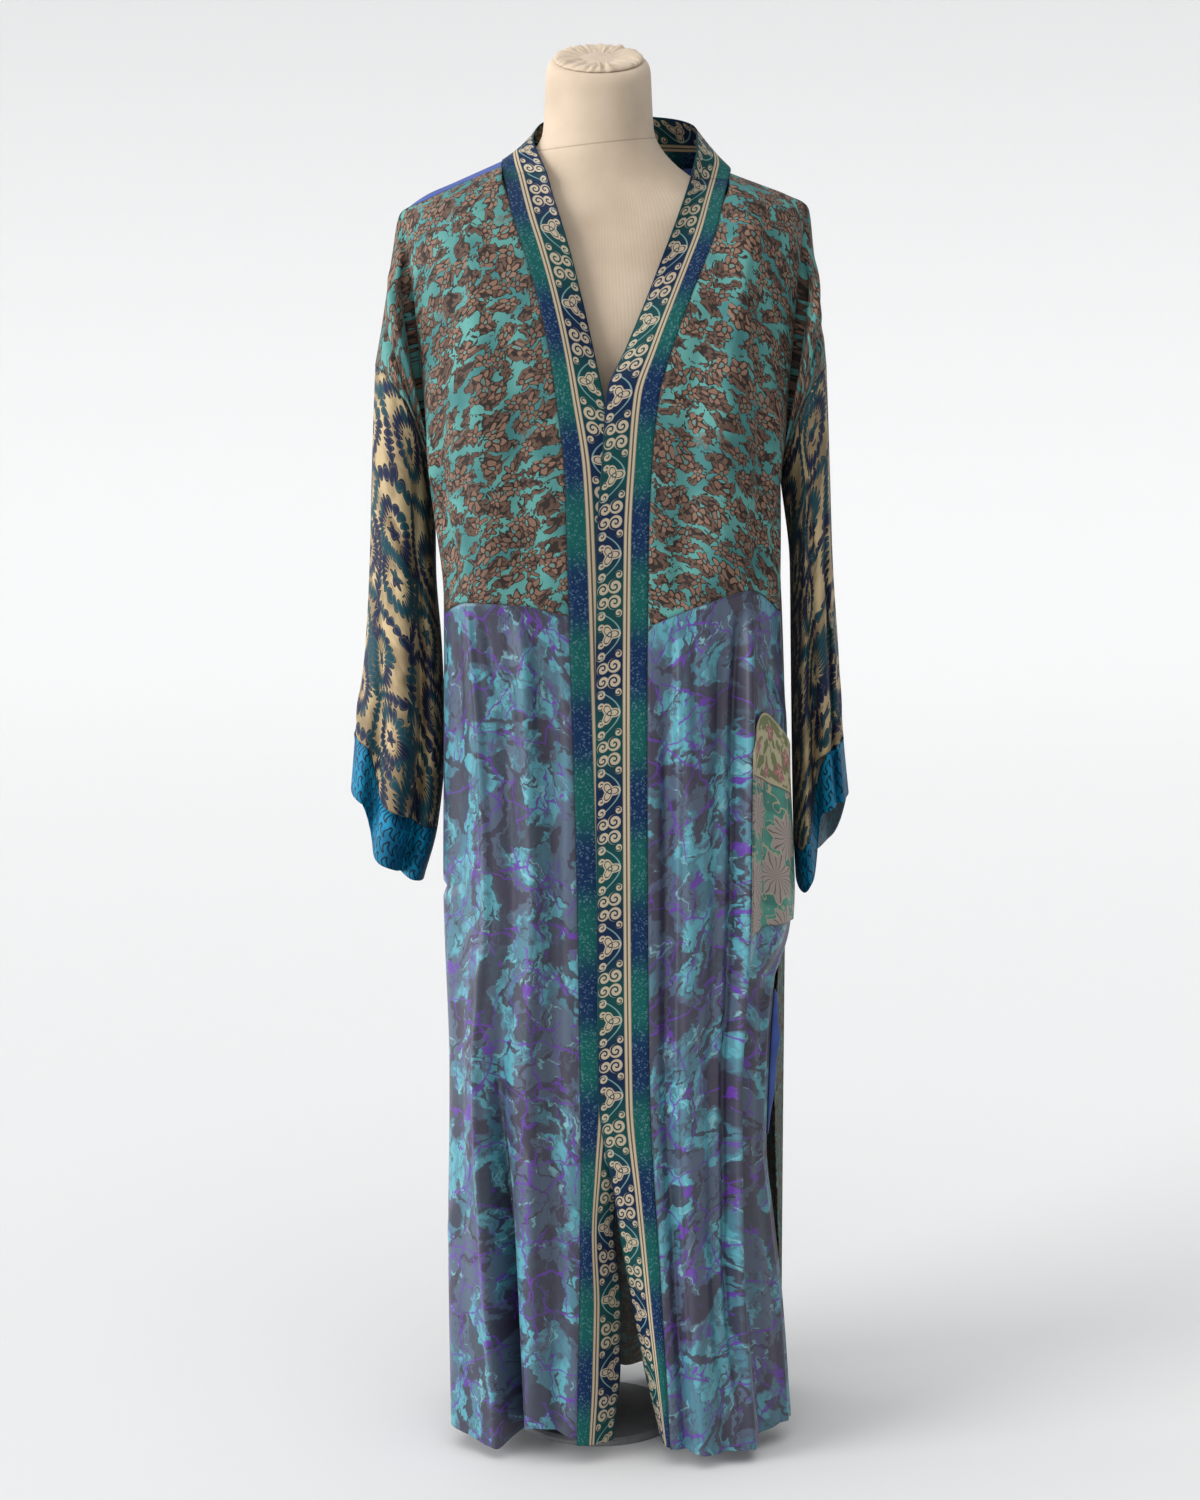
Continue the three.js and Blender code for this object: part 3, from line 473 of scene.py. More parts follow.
def dropped_features(side: Side, turn: Array, face: int) -> list[Array]:
    """Valley, lobe, side and edge of a dropped shoulder at each turn of the armhole.

    Args:
        side: which shoulder.
        turn: 0 at the armhole's top to 1 at the underarm.
        face: -1 in front and 1 behind.

    Returns:
        Four features, each one point per turn.
    """
    form = SHOULDER[side]
    raised = form.tip_z - SHOULDER[Side.RIGHT].tip_z
    found = []
    for index, name in enumerate(("valley", "lobe", "side")):
        out = lerp(lerp(form.out_tip, form.out_armhole, index / 3), form.out_underarm, turn)
        x = DROPPED[name + "_x"](turn) + out
        z = DROPPED[name + "_z"](turn) + raised * (1 - turn) * (1 - index / 3)
        found.append(points(side.value * x, face * (DROPPED[name + "_y"](turn) + FOLD_GAP), z))
    edge = sleeve(side)(turn * 180, 0 * turn)
    edge[:, 1] = face * (np.abs(edge[:, 1]) + FOLD_GAP)
    edge[:, 0] -= side.value * UNDERARM_TUCK * smooth(0.3, 0.9, turn)
    return [*found, edge]


def front_upper(side: Side) -> Surface:
    """An upper front.

    Args:
        side: which front.

    Returns:
        A surface whose u runs over its features and v from the shoulder seam to the waist seam.
    """
    form = SHOULDER[side]

    def surface(u: Array, v: Array) -> Array:
        """The points at each u and v.

        Args:
            u: feature numbers.
            v: share of the way down.

        Returns:
            The points.
        """
        turn = np.clip(v / ARMHOLE_SHARE, 0, 1)
        below = np.clip((v - ARMHOLE_SHARE) / (1 - ARMHOLE_SHARE), 0, 1)
        over = []
        for index, share in enumerate(CHEST_SHARE):
            drop = lerp(form.seam_drop, form.line_z[index] - UNDERARM_Z, turn)
            z = form.line_z[index] - np.abs(drop)
            target = front_features(side, z)[index]
            settle, sideways = smooth(0.5, 1, turn), smooth(0, 0.55, turn)
            if index == 0:
                settle = sideways = smooth(0, 0.12, turn)
            y = -np.sign(drop) * CHEST["front"](np.abs(drop)) * share
            x = lerp(side.value * form.line_x[index], target[:, 0], sideways)
            over.append(points(x, lerp(y, target[:, 1], settle), z))
        over += dropped_features(side, turn, -1)
        feature = np.minimum(u, 3) + np.maximum(u - 3, 0) / 4
        front = front_features(side, lerp(UNDERARM_Z, WAIST[side]["z"](feature), below))
        under = front[:4] + [lerp(front[3], front[4], share) for share in BELOW_ARMHOLE]
        high = (v <= ARMHOLE_SHARE)[:, None]
        return through([np.where(high, a, b) for a, b in zip(over, under)], u)

    return surface


def neck_band(u: Array, turn: Array) -> Array:
    """The trim round the back of the neck, bent at both ends to the front trims that it is sewn to.

    Args:
        u: share from its sewn edge to its free one.
        turn: share of the way from the right front to the left one.

    Returns:
        The points.
    """

    def plain_band(at: Array) -> Array:
        """The unbent trim at each u and turn.

        Args:
            at: share of the way round.

        Returns:
            The points.
        """
        outer, inner = (
            points(*(NECK_BAND[f"{edge}_{axis}"](at) for axis in "xyz")) for edge in ("outer", "inner")
        )
        return lerp(outer, inner, u[:, None])

    place = plain_band(turn)
    for side, end in ((Side.RIGHT, 0.0), (Side.LEFT, 1.0)):
        there = plain_band(np.full(len(u), end))
        bend = front_band(side)(u, there[:, 2]) - there
        place = place + bend * (1 - smooth(0, 0.16, np.abs(turn - end)))[:, None]
    return place


def back_upper(u: Array, v: Array) -> Array:
    """The upper back: u over its features from the right armhole to the left one, v down to the waist seam.

    Args:
        u: feature numbers.
        v: share of the way down.

    Returns:
        The points.
    """
    turn = np.clip(v / ARMHOLE_SHARE, 0, 1)
    below = np.clip((v - ARMHOLE_SHARE) / (1 - ARMHOLE_SHARE), 0, 1)
    body_z = lerp(UNDERARM_Z, BACK_WAIST_Z, below)
    high = v <= ARMHOLE_SHARE

    def half(side: Side) -> list[Array]:
        """The features from one armhole to the centre.

        Args:
            side: which side.

        Returns:
            The features, each one point per place asked for.
        """
        form = SHOULDER[side]
        tops = []
        for index in (3, 2, 0):
            drop = lerp(-form.seam_drop, form.line_z[index] - UNDERARM_Z, turn)
            fall = np.abs(drop)
            away = np.where(drop < 0, -CHEST["front"](fall), CHEST["back"](fall)) * CHEST_SHARE[index]
            x, z = side.value * form.line_x[index], form.line_z[index] - fall
            tops.append((x, away, z, smooth(0.45, 1, turn)))
        for part in NECK_EDGE_TURNS:
            x, y, z = neck_band(np.zeros(1), np.array([part if side is Side.RIGHT else 1 - part]))[0]
            tops.append((x, y, lerp(z, UNDERARM_Z, turn), smooth(0, 0.4, turn)))
        body = []
        for (x, y, z, out), place in zip(tops, BACK_UPPER_PLACES):
            z = np.where(high, z, body_z)
            k = place if side is Side.RIGHT else BACK_LAST - place
            target = through(back_features(z), np.full(len(z), float(k)))
            body.append(points(lerp(x, target[:, 0], smooth(0, 0.5, turn)), lerp(y, target[:, 1], out), z))
        body[3][:, 1] = np.maximum(body[3][:, 1], lerp(body[2][:, 1], body[4][:, 1], 0.4))
        seam = back_features(body_z)[0 if side is Side.RIGHT else BACK_LAST]
        under = [lerp(body[0], seam, share) for share in BELOW_ARMHOLE[::-1]]
        over = dropped_features(side, turn, 1)[::-1]
        return [np.where(high[:, None], a, b) for a, b in zip(over, under)] + body

    return through([*half(Side.RIGHT), *half(Side.LEFT)[-2::-1]], u)


def front_band(side: Side) -> Surface:
    """The trim down a front.

    Args:
        side: which front.

    Returns:
        A surface whose u runs from the sewn edge to the free one, and v is the height in mm.
    """
    band = BAND[side]

    def surface(u: Array, z: Array) -> Array:
        """The points at each u and height."""
        y = lerp(band["outer_y"](z), band["inner_y"](z), np.maximum(u, 0) ** 2.6)
        return points(lerp(band["outer_x"](z), band["inner_x"](z), u), y, z)

    return surface


@dataclass(frozen=True)
class Groove:
    """A hollow down a sleeve at an angle, deeper from one length to another."""

    angle: float
    width: float
    depth: float
    start: float
    end: float


def rows(kind: type, *values: tuple[float, ...]) -> tuple:
    """A Fold, Crease or Groove from each row of numbers."""
    return tuple(kind(*row) for row in values)


# Columns: k, width, depth, bottom, top, fade.
LOWER_FOLDS = {
    Side.RIGHT: rows(
        Fold,
        (1.62, 0.2, 56, -200, 330, 300), (2.03, 0.07, -6, 40, 930), (1.5, 0.2, 7, 200, 900),
        (1.0, 0.16, -8, 120, 900), (0.5, 0.2, 9, -200, 880), (2.5, 0.22, 5, -200, 900),
        (3.45, 0.25, 8, -200, 860),
    ),
    Side.LEFT: rows(
        Fold,
        (2.0, 0.1, -13, 60, 930), (1.76, 0.12, 12, 120, 930), (1.42, 0.18, 7, -200, 900),
        (0.85, 0.22, -7, -200, 880), (0.62, 0.05, -3, 60, 900), (0.38, 0.14, 9, -200, 860),
        (2.5, 0.2, 14, -200, 800), (3.3, 0.2, -6, -200, 700),
    ),
}

# The same columns.
UPPER_FOLDS = {
    Side.RIGHT: rows(
        Fold,
        (0.8, 0.25, 5, 960, 1240), (1.5, 0.22, -5, 900, 1330), (2.4, 0.22, 6, 900, 1180),
        (1.9, 0.05, -2.5, 960, 1380), (4.0, 0.26, 11, 1080, 1345, 60), (5.1, 0.2, -4, 1120, 1330, 60),
        (6.0, 0.24, 8, 1080, 1330, 60),
    ),
    Side.LEFT: rows(
        Fold,
        (4.0, 0.26, 11, 1080, 1345, 60), (5.1, 0.2, -4, 1120, 1330, 60), (6.0, 0.24, 8, 1080, 1330, 60),
        (1.75, 0.05, -2.5, 960, 1340), (0.7, 0.22, 6, 900, 1230), (1.4, 0.22, -6, 900, 1300),
        (2.2, 0.2, 7, 900, 1240),
    ),
}

# Columns: k0, z0, k1, z1, width, depth.
LOWER_CREASES = {
    Side.RIGHT: rows(
        Crease,
        (2.5, 652, 4.0, 640, 5, 5), (0.7, 948, 0.75, 800, 4, 3.5), (0.95, 952, 0.9, 842, 4, -2.5),
        (1.25, 956, 1.3, 790, 5, 3.5), (1.7, 958, 1.66, 860, 4, 3), (2.3, 955, 2.5, 830, 6, 4),
        (0.3, 930, 0.35, 700, 5, 3), (1.8, 600, 2.2, 520, 8, -3), (0.4, 420, 1.3, 340, 9, 3.5),
        (2.3, 330, 2.9, 250, 8, -3), (3.2, 480, 3.9, 420, 8, 4),
    ),
    Side.LEFT: rows(
        Crease,
        (0.5, 944, 0.55, 800, 4, 3.5), (0.9, 956, 0.95, 770, 4, 3.5), (1.15, 962, 1.2, 850, 4, -3),
        (1.45, 968, 1.5, 760, 5, 4), (1.9, 970, 1.85, 830, 5, 3), (0.2, 500, 1.0, 430, 8, -3),
        (0.9, 300, 1.8, 230, 9, 3.5), (2.4, 560, 3.2, 500, 8, 4), (2.3, 900, 3.0, 850, 7, 4),
    ),
}

# The same columns.
UPPER_CREASES = {
    Side.RIGHT: rows(
        Crease,
        (2.6, 1010, 3.4, 1120, 9, 6), (2.0, 985, 2.9, 1060, 8, 4), (0.5, 970, 0.6, 1050, 6, 3),
        (1.4, 1330, 2.3, 1240, 9, 4),
    ),
    Side.LEFT: rows(
        Crease,
        (2.6, 1000, 3.4, 1110, 9, 6), (2.1, 975, 2.8, 1050, 8, 4), (0.6, 960, 0.5, 1050, 6, 3),
        (1.5, 1320, 2.4, 1230, 9, 4),
    ),
}

# Columns: angle, width, depth, start, end.
SLEEVE_GROOVES = {
    Side.RIGHT: rows(
        Groove,
        (120, 11, 34, 0.0, 0.7), (66, 9, 26, 0.45, 1.2), (92, 9, -7, 0.0, 0.8), (-110, 22, 16, 0.1, 0.7),
    ),
    Side.LEFT: rows(
        Groove,
        (106, 10, 34, 0.0, 1.2), (64, 9, 16, 0.0, 0.7), (30, 14, 7, 0.1, 0.5), (-98, 22, 16, 0.1, 0.7),
    ),
}

# Columns: angle and height at both ends, width, depth.
SLEEVE_CREASES = {
    Side.RIGHT: rows(
        Crease,
        (70, 1060, 100, 1000, 8, 5), (20, 980, 60, 930, 7, 4), (75, 900, 110, 850, 8, 5),
        (10, 850, 40, 800, 7, -3), (-60, 1000, -100, 930, 9, 5), (-40, 860, -80, 800, 9, 4),
        (-120, 880, -150, 830, 9, 4),
    ),
    Side.LEFT: rows(
        Crease,
        (110, 1060, 70, 990, 8, 5), (40, 960, 70, 900, 7, 4), (110, 860, 80, 800, 8, 4),
        (20, 860, 50, 800, 7, -3), (-60, 1000, -100, 930, 9, 5), (-40, 860, -80, 800, 9, 4),
        (-120, 880, -150, 830, 9, 4),
    ),
}

BACK_UPPER_FOLDS = rows(
    Fold,
    (5.6, 0.4, 6, 900, 1240), (9.0, 0.5, 9, 900, 1300), (12.4, 0.4, 7, 900, 1230),
)

BACK_LOWER_FOLDS = rows(
    Fold,
    (2.6, 0.3, 16, -200, 740), (3.9, 0.3, -12, -200, 700), (5.0, 0.35, 20, -200, 700),
    (6.2, 0.3, -10, -200, 680), (7.4, 0.3, 17, -200, 740), (1.3, 0.25, 7, -200, 700),
    (8.7, 0.25, 8, -200, 700),
)



# ---- laying cloth ------------------------------------------------------------------------------------------

SEAM_EASE = 36.0  # mm over which folds die away towards a smooth seam
FEATURE_WIDTH = 90.0  # mm from one feature to the next, near enough to find a crease's end
FAR = 99.0  # mm or feature numbers, further than any


def spread(low: float, high: float, count: int, rim: float = 0.0) -> Array:
    """Even places from low to high, with one more close to each end where rim says how close."""
    even = np.linspace(low, high, count)
    return np.array([low, low + rim, *even[1:-1], high - rim, high]) if rim else even


def upright(folds: Sequence[Fold], k: Array, z: Array) -> Array:
    """How deep the upright folds lie at each feature number and height, in mm.

    Args:
        folds: the folds.
        k: feature number at each point.
        z: height at each point in mm.

    Returns:
        Depths in mm.
    """
    total = np.zeros(len(k))
    for f in folds:
        share = smooth(f.bottom - f.fade, f.bottom + f.fade, z)
        share = share * (1 - smooth(f.top - f.fade, f.top + f.fade, z))
        total += f.depth * bell((k - f.k) / f.width) * share
    return total


def creased(creases: Sequence[Crease], k: Array, z: Array, flat: Array) -> Array:
    """How deep the short creases lie at each point of the flat cloth.

    Args:
        creases: the creases.
        k: feature number at each point.
        z: height at each point.
        flat: the points' places on the flat cloth in mm.

    Returns:
        Depths in mm.
    """
    total = np.zeros(len(k))
    for c in creases:
        start, end = (
            flat[np.argmin(((k - at) * FEATURE_WIDTH) ** 2 + (z - height) ** 2)]
            for at, height in ((c.k0, c.z0), (c.k1, c.z1))
        )
        run = end - start
        t = np.clip(((flat - start) @ run) / max(run @ run, 1e-6), 0, 1)
        away = np.linalg.norm(flat - start - t[:, None] * run, axis=1)
        total += c.depth * bell(away / c.width) * (0.25 + 0.75 * np.sin(np.pi * t))
    return total


@dataclass
class Cloth:
    """One cut piece of cloth: a grid laid on its surface, with its folds and creases, given a thin wall."""

    name: str
    surface: Surface
    us: Array
    vs: Array
    closed: bool = False
    outward: int = 1
    lift: float = 0.0
    folds: Sequence[Fold] = ()
    creases: Sequence[Crease] = ()
    step_u: float = 0.004
    ribbon: float = 0.0
    sewn: str = "ul ur vt vb"
    cut_from: tuple[float, float] = (0.0, 0.0)
    even_beyond: float = FAR
    smooth_at: str = ""

    def _places(self) -> tuple[Array, Array, Array, Array]:
        """Works out the grid in mm.

        Returns:
            The points, the outward normals, the points' places on the flat cloth and their distances from
            the nearest sewn edge.
        """
        u, v = (a.ravel() for a in np.meshgrid(self.us, self.vs))
        rows, across = len(self.vs), len(self.us)
        base = self.surface(u, v)
        eu, ev = self.step_u, 0.004 * (self.vs[-1] - self.vs[0])
        du = self.surface(u + eu, v) - self.surface(u - eu, v)
        dv = self.surface(u, v + ev) - self.surface(u, v - ev)
        normal = np.cross(du, dv)
        normal *= self.outward / np.maximum(np.linalg.norm(normal, axis=1, keepdims=True), 1e-9)
        grid = base.reshape(rows, across, 3)
        gap_u = np.linalg.norm(np.diff(grid, axis=1), axis=2)
        gap_v = np.linalg.norm(np.diff(grid, axis=0), axis=2)
        s = np.concatenate([np.zeros((rows, 1)), np.cumsum(gap_u, axis=1)], axis=1)
        t = np.concatenate([np.zeros((1, across)), np.cumsum(gap_v, axis=0)], axis=0)
        s -= s[:, across // 2 : across // 2 + 1]
        print_s = s.copy()
        beyond = self.us > self.even_beyond
        if beyond.any():
            start = print_s[:, np.argmax(beyond) - 1, None]
            print_s[:, beyond] = start + (print_s[:, beyond] - start).mean(axis=0)
        flat = np.stack([u * self.ribbon if self.ribbon else print_s.ravel(), -t.ravel()], axis=-1)
        depth = upright(self.folds, u, base[:, 2]) + creased(self.creases, u, base[:, 2], flat)
        for key, away in (("vt", t), ("vb", t[-1:] - t)):
            if key in self.smooth_at:
                depth = depth * smooth(0, SEAM_EASE, away.ravel())
        flat = flat + self.cut_from
        place = base + normal * (self.lift - depth)[:, None]
        sides = {"vt": t, "vb": t[-1:] - t, "ul": s - s[:, :1], "ur": s[:, -1:] - s}
        near = [sides[key].ravel() for key in ("ul", "ur", "vt", "vb") if key in self.sewn]
        edge = np.min(near, axis=0) if near else np.full(len(u), FAR)
        return place, normal, flat, edge

    def lay(self) -> bpy.types.Object:
        """Builds the piece.

        Returns:
            Its object, with a "cloth" UV map in metres of flat cloth and an "edge" attribute in mm.
        """
        place, normal, flat, edge = self._places()
        across, rows = len(self.us), len(self.vs)
        bm = bmesh.new()
        bmesh.ops.create_grid(bm, x_segments=across - 1, y_segments=rows - 1, size=0.5)
        uv = bm.loops.layers.uv.new("cloth")
        tag = bm.verts.layers.float.new("edge")
        where = {}
        for vert in bm.verts:
            column = round((vert.co.x + 0.5) * (across - 1))
            row = round((0.5 - vert.co.y) * (rows - 1))
            where[vert.index] = row * across + column
        for face in bm.faces:
            for loop in face.loops:
                loop[uv].uv = flat[where[loop.vert.index]] * MM
        for vert in bm.verts:
            index = where[vert.index]
            vert.co = place[index] * MM
            vert[tag] = edge[index]
        bm.normal_update()
        turned = sum(f.normal.dot(Vector(normal[where[f.verts[0].index]])) for f in bm.faces) < 0
        if turned:
            bmesh.ops.reverse_faces(bm, faces=bm.faces)
        if self.closed:
            bmesh.ops.remove_doubles(bm, verts=bm.verts, dist=1e-6)
        return finished(self.name, bm, wall=CLOTH_WALL)


def finished(name: str, bm: bmesh.types.BMesh, wall: float = 0.0, levels: int = 0) -> bpy.types.Object:
    """Turns a bmesh into a smooth object that rides on the part.

    Args:
        name: the piece's name.
        bm: the shape in metres; it is freed.
        wall: thickness in mm to give an open sheet.
        levels: subdivision levels.

    Returns:
        The new object.
    """
    mesh = bpy.data.meshes.new(name)
    for face in bm.faces:
        face.smooth = True
    bm.to_mesh(mesh)
    bm.free()
    piece = bpy.data.objects.new(name, mesh)
    bpy.context.scene.collection.objects.link(piece)
    if wall:
        shell = piece.modifiers.new("wall", "SOLIDIFY")
        shell.thickness = wall * MM
        shell.offset = 0
        shell.material_offset = 1
        shell.material_offset_rim = 0
    if levels:
        rounding = piece.modifiers.new("rounding", "SUBSURF")
        rounding.levels = rounding.render_levels = levels
    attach(piece, "root")
    return piece

# ---- finishes ----------------------------------------------------------------------------------------------

Socket = bpy.types.NodeSocket
Add = Callable[..., Socket]


def linear(code: str) -> tuple[float, float, float]:
    """An sRGB hex colour as linear red, green and blue."""
    parts = [int(code[i : i + 2], 16) / 255 for i in (1, 3, 5)]
    return tuple(c / 12.92 if c <= 0.04045 else ((c + 0.055) / 1.055) ** 2.4 for c in parts)


def fill(tree: bpy.types.NodeTree, node: bpy.types.Node, values: dict[int | str, object]) -> None:
    """Links or sets a node's inputs.

    Args:
        tree: the material's node tree.
        node: the node.
        values: a socket, a number or an sRGB hex colour for each input's place or name; None leaves it alone.
    """
    for key, value in values.items():
        if isinstance(value, Socket):
            tree.links.new(value, node.inputs[key])
        elif isinstance(value, str):
            node.inputs[key].default_value = (*linear(value), 1.0)
        elif value is not None:
            node.inputs[key].default_value = value


def add(tree: bpy.types.NodeTree, kind: str, *values: object, out: int | str = 0, **named: object) -> Socket:
    """Adds one node with its settings and links.

    Args:
        tree: the material's node tree.
        kind: the node's type without its ShaderNode prefix, and its operation if it has one.
        values: what the first inputs get in order, as fill takes it.
        out: the place or name of the output wanted.
        named: what inputs get by name, each with a capital, and the node's own properties.

    Returns:
        The output wanted.
    """
    node = tree.nodes.new("ShaderNode" + kind.split()[0])
    if " " in kind:
        node.operation = kind.split()[1]
    inputs = dict(enumerate(values))
    for name, value in named.items():
        if name[0].isupper():
            inputs[name] = value
        else:
            setattr(node, name, value)
    fill(tree, node, inputs)
    return node.outputs[out]


def patches(n: Add, p: Socket, size: float, low: float, high: float, detail: float = 1.0) -> Socket:
    """Soft patches of about a size in mm: 0 below the noise value low and 1 above high."""
    noise = n("TexNoise", Vector=p, Scale=1 / size, Detail=detail, noise_dimensions="2D")
    return n("MapRange", noise, low, high, interpolation_type="SMOOTHSTEP")


def wandered(n: Add, p: Socket, size: float, reach: float) -> Socket:
    """Places pushed about by up to half of reach in mm, in swirls of a size in mm.

    Args:
        n: adds a node.
        p: the places in mm.
        size: size of the swirls in mm.
        reach: how far the push may differ in mm.

    Returns:
        The moved places.
    """
    push = n("TexNoise", Vector=p, Scale=1 / size, Detail=2.0, noise_dimensions="2D", out="Color")
    centred = n("VectorMath SUBTRACT", push, (0.5, 0.5, 0.5))
    scaled = n("VectorMath MULTIPLY", centred, (reach, reach, 0))
    return n("VectorMath ADD", p, scaled)


def most(n: Add, *masks: Socket) -> Socket:
    """The highest of some masks.

    Args:
        n: adds a node.
        masks: the masks.

    Returns:
        The highest.
    """
    total = masks[0]
    for mask in masks[1:]:
        total = n("Math MAXIMUM", total, mask)
    return total


def line_at(n: Add, distance: Socket, width: float) -> Socket:
    """A soft-edged line of a width in mm where a distance is near zero."""
    away = n("Math ABSOLUTE", distance)
    return n("MapRange", away, width / 2 - 0.25, width / 2 + 0.35, 1.0, 0.0)


@dataclass(frozen=True)
class Spot:
    """The sockets of a motif that is repeated one to a cell: its polar place, its tone and its middle."""

    radius: Socket
    turn: Socket
    tone: Socket
    middle: Socket

    @classmethod
    def scattered(cls, n: Add, p: Socket, cell: float, loose: float) -> "Spot":
        """Motif places about a cell's width apart in mm, the looser the more uneven.

        Args:
            n: adds a node.
            p: the places in mm.
            cell: a cell's width in mm.
            loose: 0 for even rows up to 1 for a free scatter.

        Returns:
            The nearest motif, seen from each place.
        """
        middle = n(
            "TexVoronoi", Vector=p, Scale=1 / cell, Randomness=loose, voronoi_dimensions="2D", out="Position",
        )
        return cls.around(n, p, middle, middle.node.outputs["Color"])

    @classmethod
    def around(cls, n: Add, p: Socket, middle: object, tone: Socket | None = None) -> "Spot":
        """The polar place round one middle.

        Args:
            n: adds a node.
            p: the places in mm.
            middle: the motif's middle, a socket or three numbers.
            tone: a colour whose red tells motifs apart.

        Returns:
            The motif, seen from each place.
        """
        local = n("VectorMath SUBTRACT", p, middle)
        x = n("SeparateXYZ", local)
        turn = n("Math ARCTAN2", x.node.outputs[1], x)
        radius = n("VectorMath LENGTH", local, out="Value")
        red = n("SeparateXYZ", tone) if tone is not None else turn
        return cls(radius, turn, red, middle if isinstance(middle, Socket) else local)

    def petals(self, n: Add, count: int, reach: float, notch: float) -> tuple[Socket, Socket]:
        """A rosette.

        Args:
            n: adds a node.
            count: petals.
            reach: radius to the petals' tips in mm.
            notch: how far the petals are cut in, as a share of the reach.

        Returns:
            How deep inside its edge a place lies in mm, and the wave of the petals from -1 to 1.
        """
        phase = n("Math MULTIPLY", self.tone, 6.28)
        wave = n("Math COSINE", n("Math MULTIPLY_ADD", self.turn, float(count), phase))
        edge = n("Math MULTIPLY_ADD", wave, reach * notch / 2, reach * (1 - notch / 2))
        return n("Math SUBTRACT", edge, self.radius), wave

    def curl(self, n: Add, reach: float, pitch: float, hand: int) -> Socket:
        """A spiral tendril as a mask, thinning out at its reach in mm.

        Args:
            n: adds a node.
            reach: its radius in mm.
            pitch: from one turn to the next in mm.
            hand: 1 or -1 for the way it winds.

        Returns:
            The mask.
        """
        swing = n("Math MULTIPLY", self.turn, hand / (2 * math.pi))
        coil = n("Math FRACT", n("Math MULTIPLY_ADD", self.radius, 1 / pitch, swing))
        band = n("Math ABSOLUTE", n("Math SUBTRACT", coil, 0.5))
        stroke = n("MapRange", band, 0.27, 0.37, 1.0, 0.0)
        inside = n("MapRange", self.radius, reach - 0.5, reach + 0.5, 1.0, 0.0)
        return n("Math MULTIPLY", stroke, inside)


@dataclass(frozen=True)
class Finish:
    """What a surface is made of."""

    name: str

    def surface(self, n: Add) -> dict[str, object]:
        """What each named input of the material's shader gets."""
        raise NotImplementedError

    def build(self) -> bpy.types.Material:
        """Makes the material.

        Returns:
            The new material.
        """
        material = bpy.data.materials.new(self.name)
        material.use_nodes = True
        tree = material.node_tree
        fill(tree, tree.nodes["Principled BSDF"], self.surface(partial(add, tree)))
        return material


@dataclass(frozen=True)
class Fabric(Finish):
    """Cloth whose print is drawn on its own flat measure, with its weave, sheen and sewn edges, which carry
    painted shade.

    The real threads are under 0.3 mm; the weave is drawn at thread mm, as coarse as it needs to show.
    """

    roughness: float = 0.75
    sheen: float = 0.05
    specular: float = 0.3
    thread: float = 2.4
    weave: float = 0.22
    faded: float = 0.0

    def print(self, n: Add, p: Socket) -> Socket:
        """The print's colour at each place in mm."""
        raise NotImplementedError

    def surface(self, n: Add) -> dict[str, object]:
        """The print, darker in patches and with painted shade at the seams, over the weave and the welt
        beside a sewn edge.

        Args:
            n: adds a node.

        Returns:
            What each named input of the shader gets.
        """
        p = n("VectorMath MULTIPLY", n("UVMap", uv_map="cloth"), (1000, 1000, 0))
        color = self.print(n, p)
        tone = patches(n, p, 160, 0.3, 0.7)
        color = n("MixRGB", n("Math MULTIPLY", tone, 0.1), color, "#101418")
        if self.faded:
            color = n("MixRGB", self.faded, color, "#b9b4a6")
        edge = n("Attribute", attribute_name="edge", out="Fac")
        # Painted shade along the seams: within 2 mm of a sewn edge the colour darkens towards near black.
        seam = n("MapRange", edge, 0.2, 1.8, 0.55, 0.0)
        color = n("MixRGB", seam, color, "#0c0d10")
        pace = 2 * math.pi / self.thread
        threads = n("VectorMath SINE", n("VectorMath MULTIPLY", p, (pace, pace, 0)))
        warp = n("SeparateXYZ", threads)
        crossing = n("Math MULTIPLY", warp, warp.node.outputs[1])
        slub = n("TexNoise", Vector=p, Scale=0.5, Detail=2.0, noise_dimensions="2D")
        grain = n("Math MULTIPLY_ADD", crossing, 0.5, slub)
        welt = n("MapRange", edge, 0.0, 4.0, -3.0, 0.0, interpolation_type="SMOOTHSTEP")
        height = n("Math MULTIPLY_ADD", grain, self.weave, welt)
        normal = n("Bump", Strength=0.55, Distance=0.0004, Height=height)
        return {
            "Base Color": color, "Normal": normal, "Roughness": self.roughness, "IOR": 1.5,
            "Specular IOR Level": self.specular, "Sheen Weight": self.sheen, "Sheen Roughness": 0.3,
        }


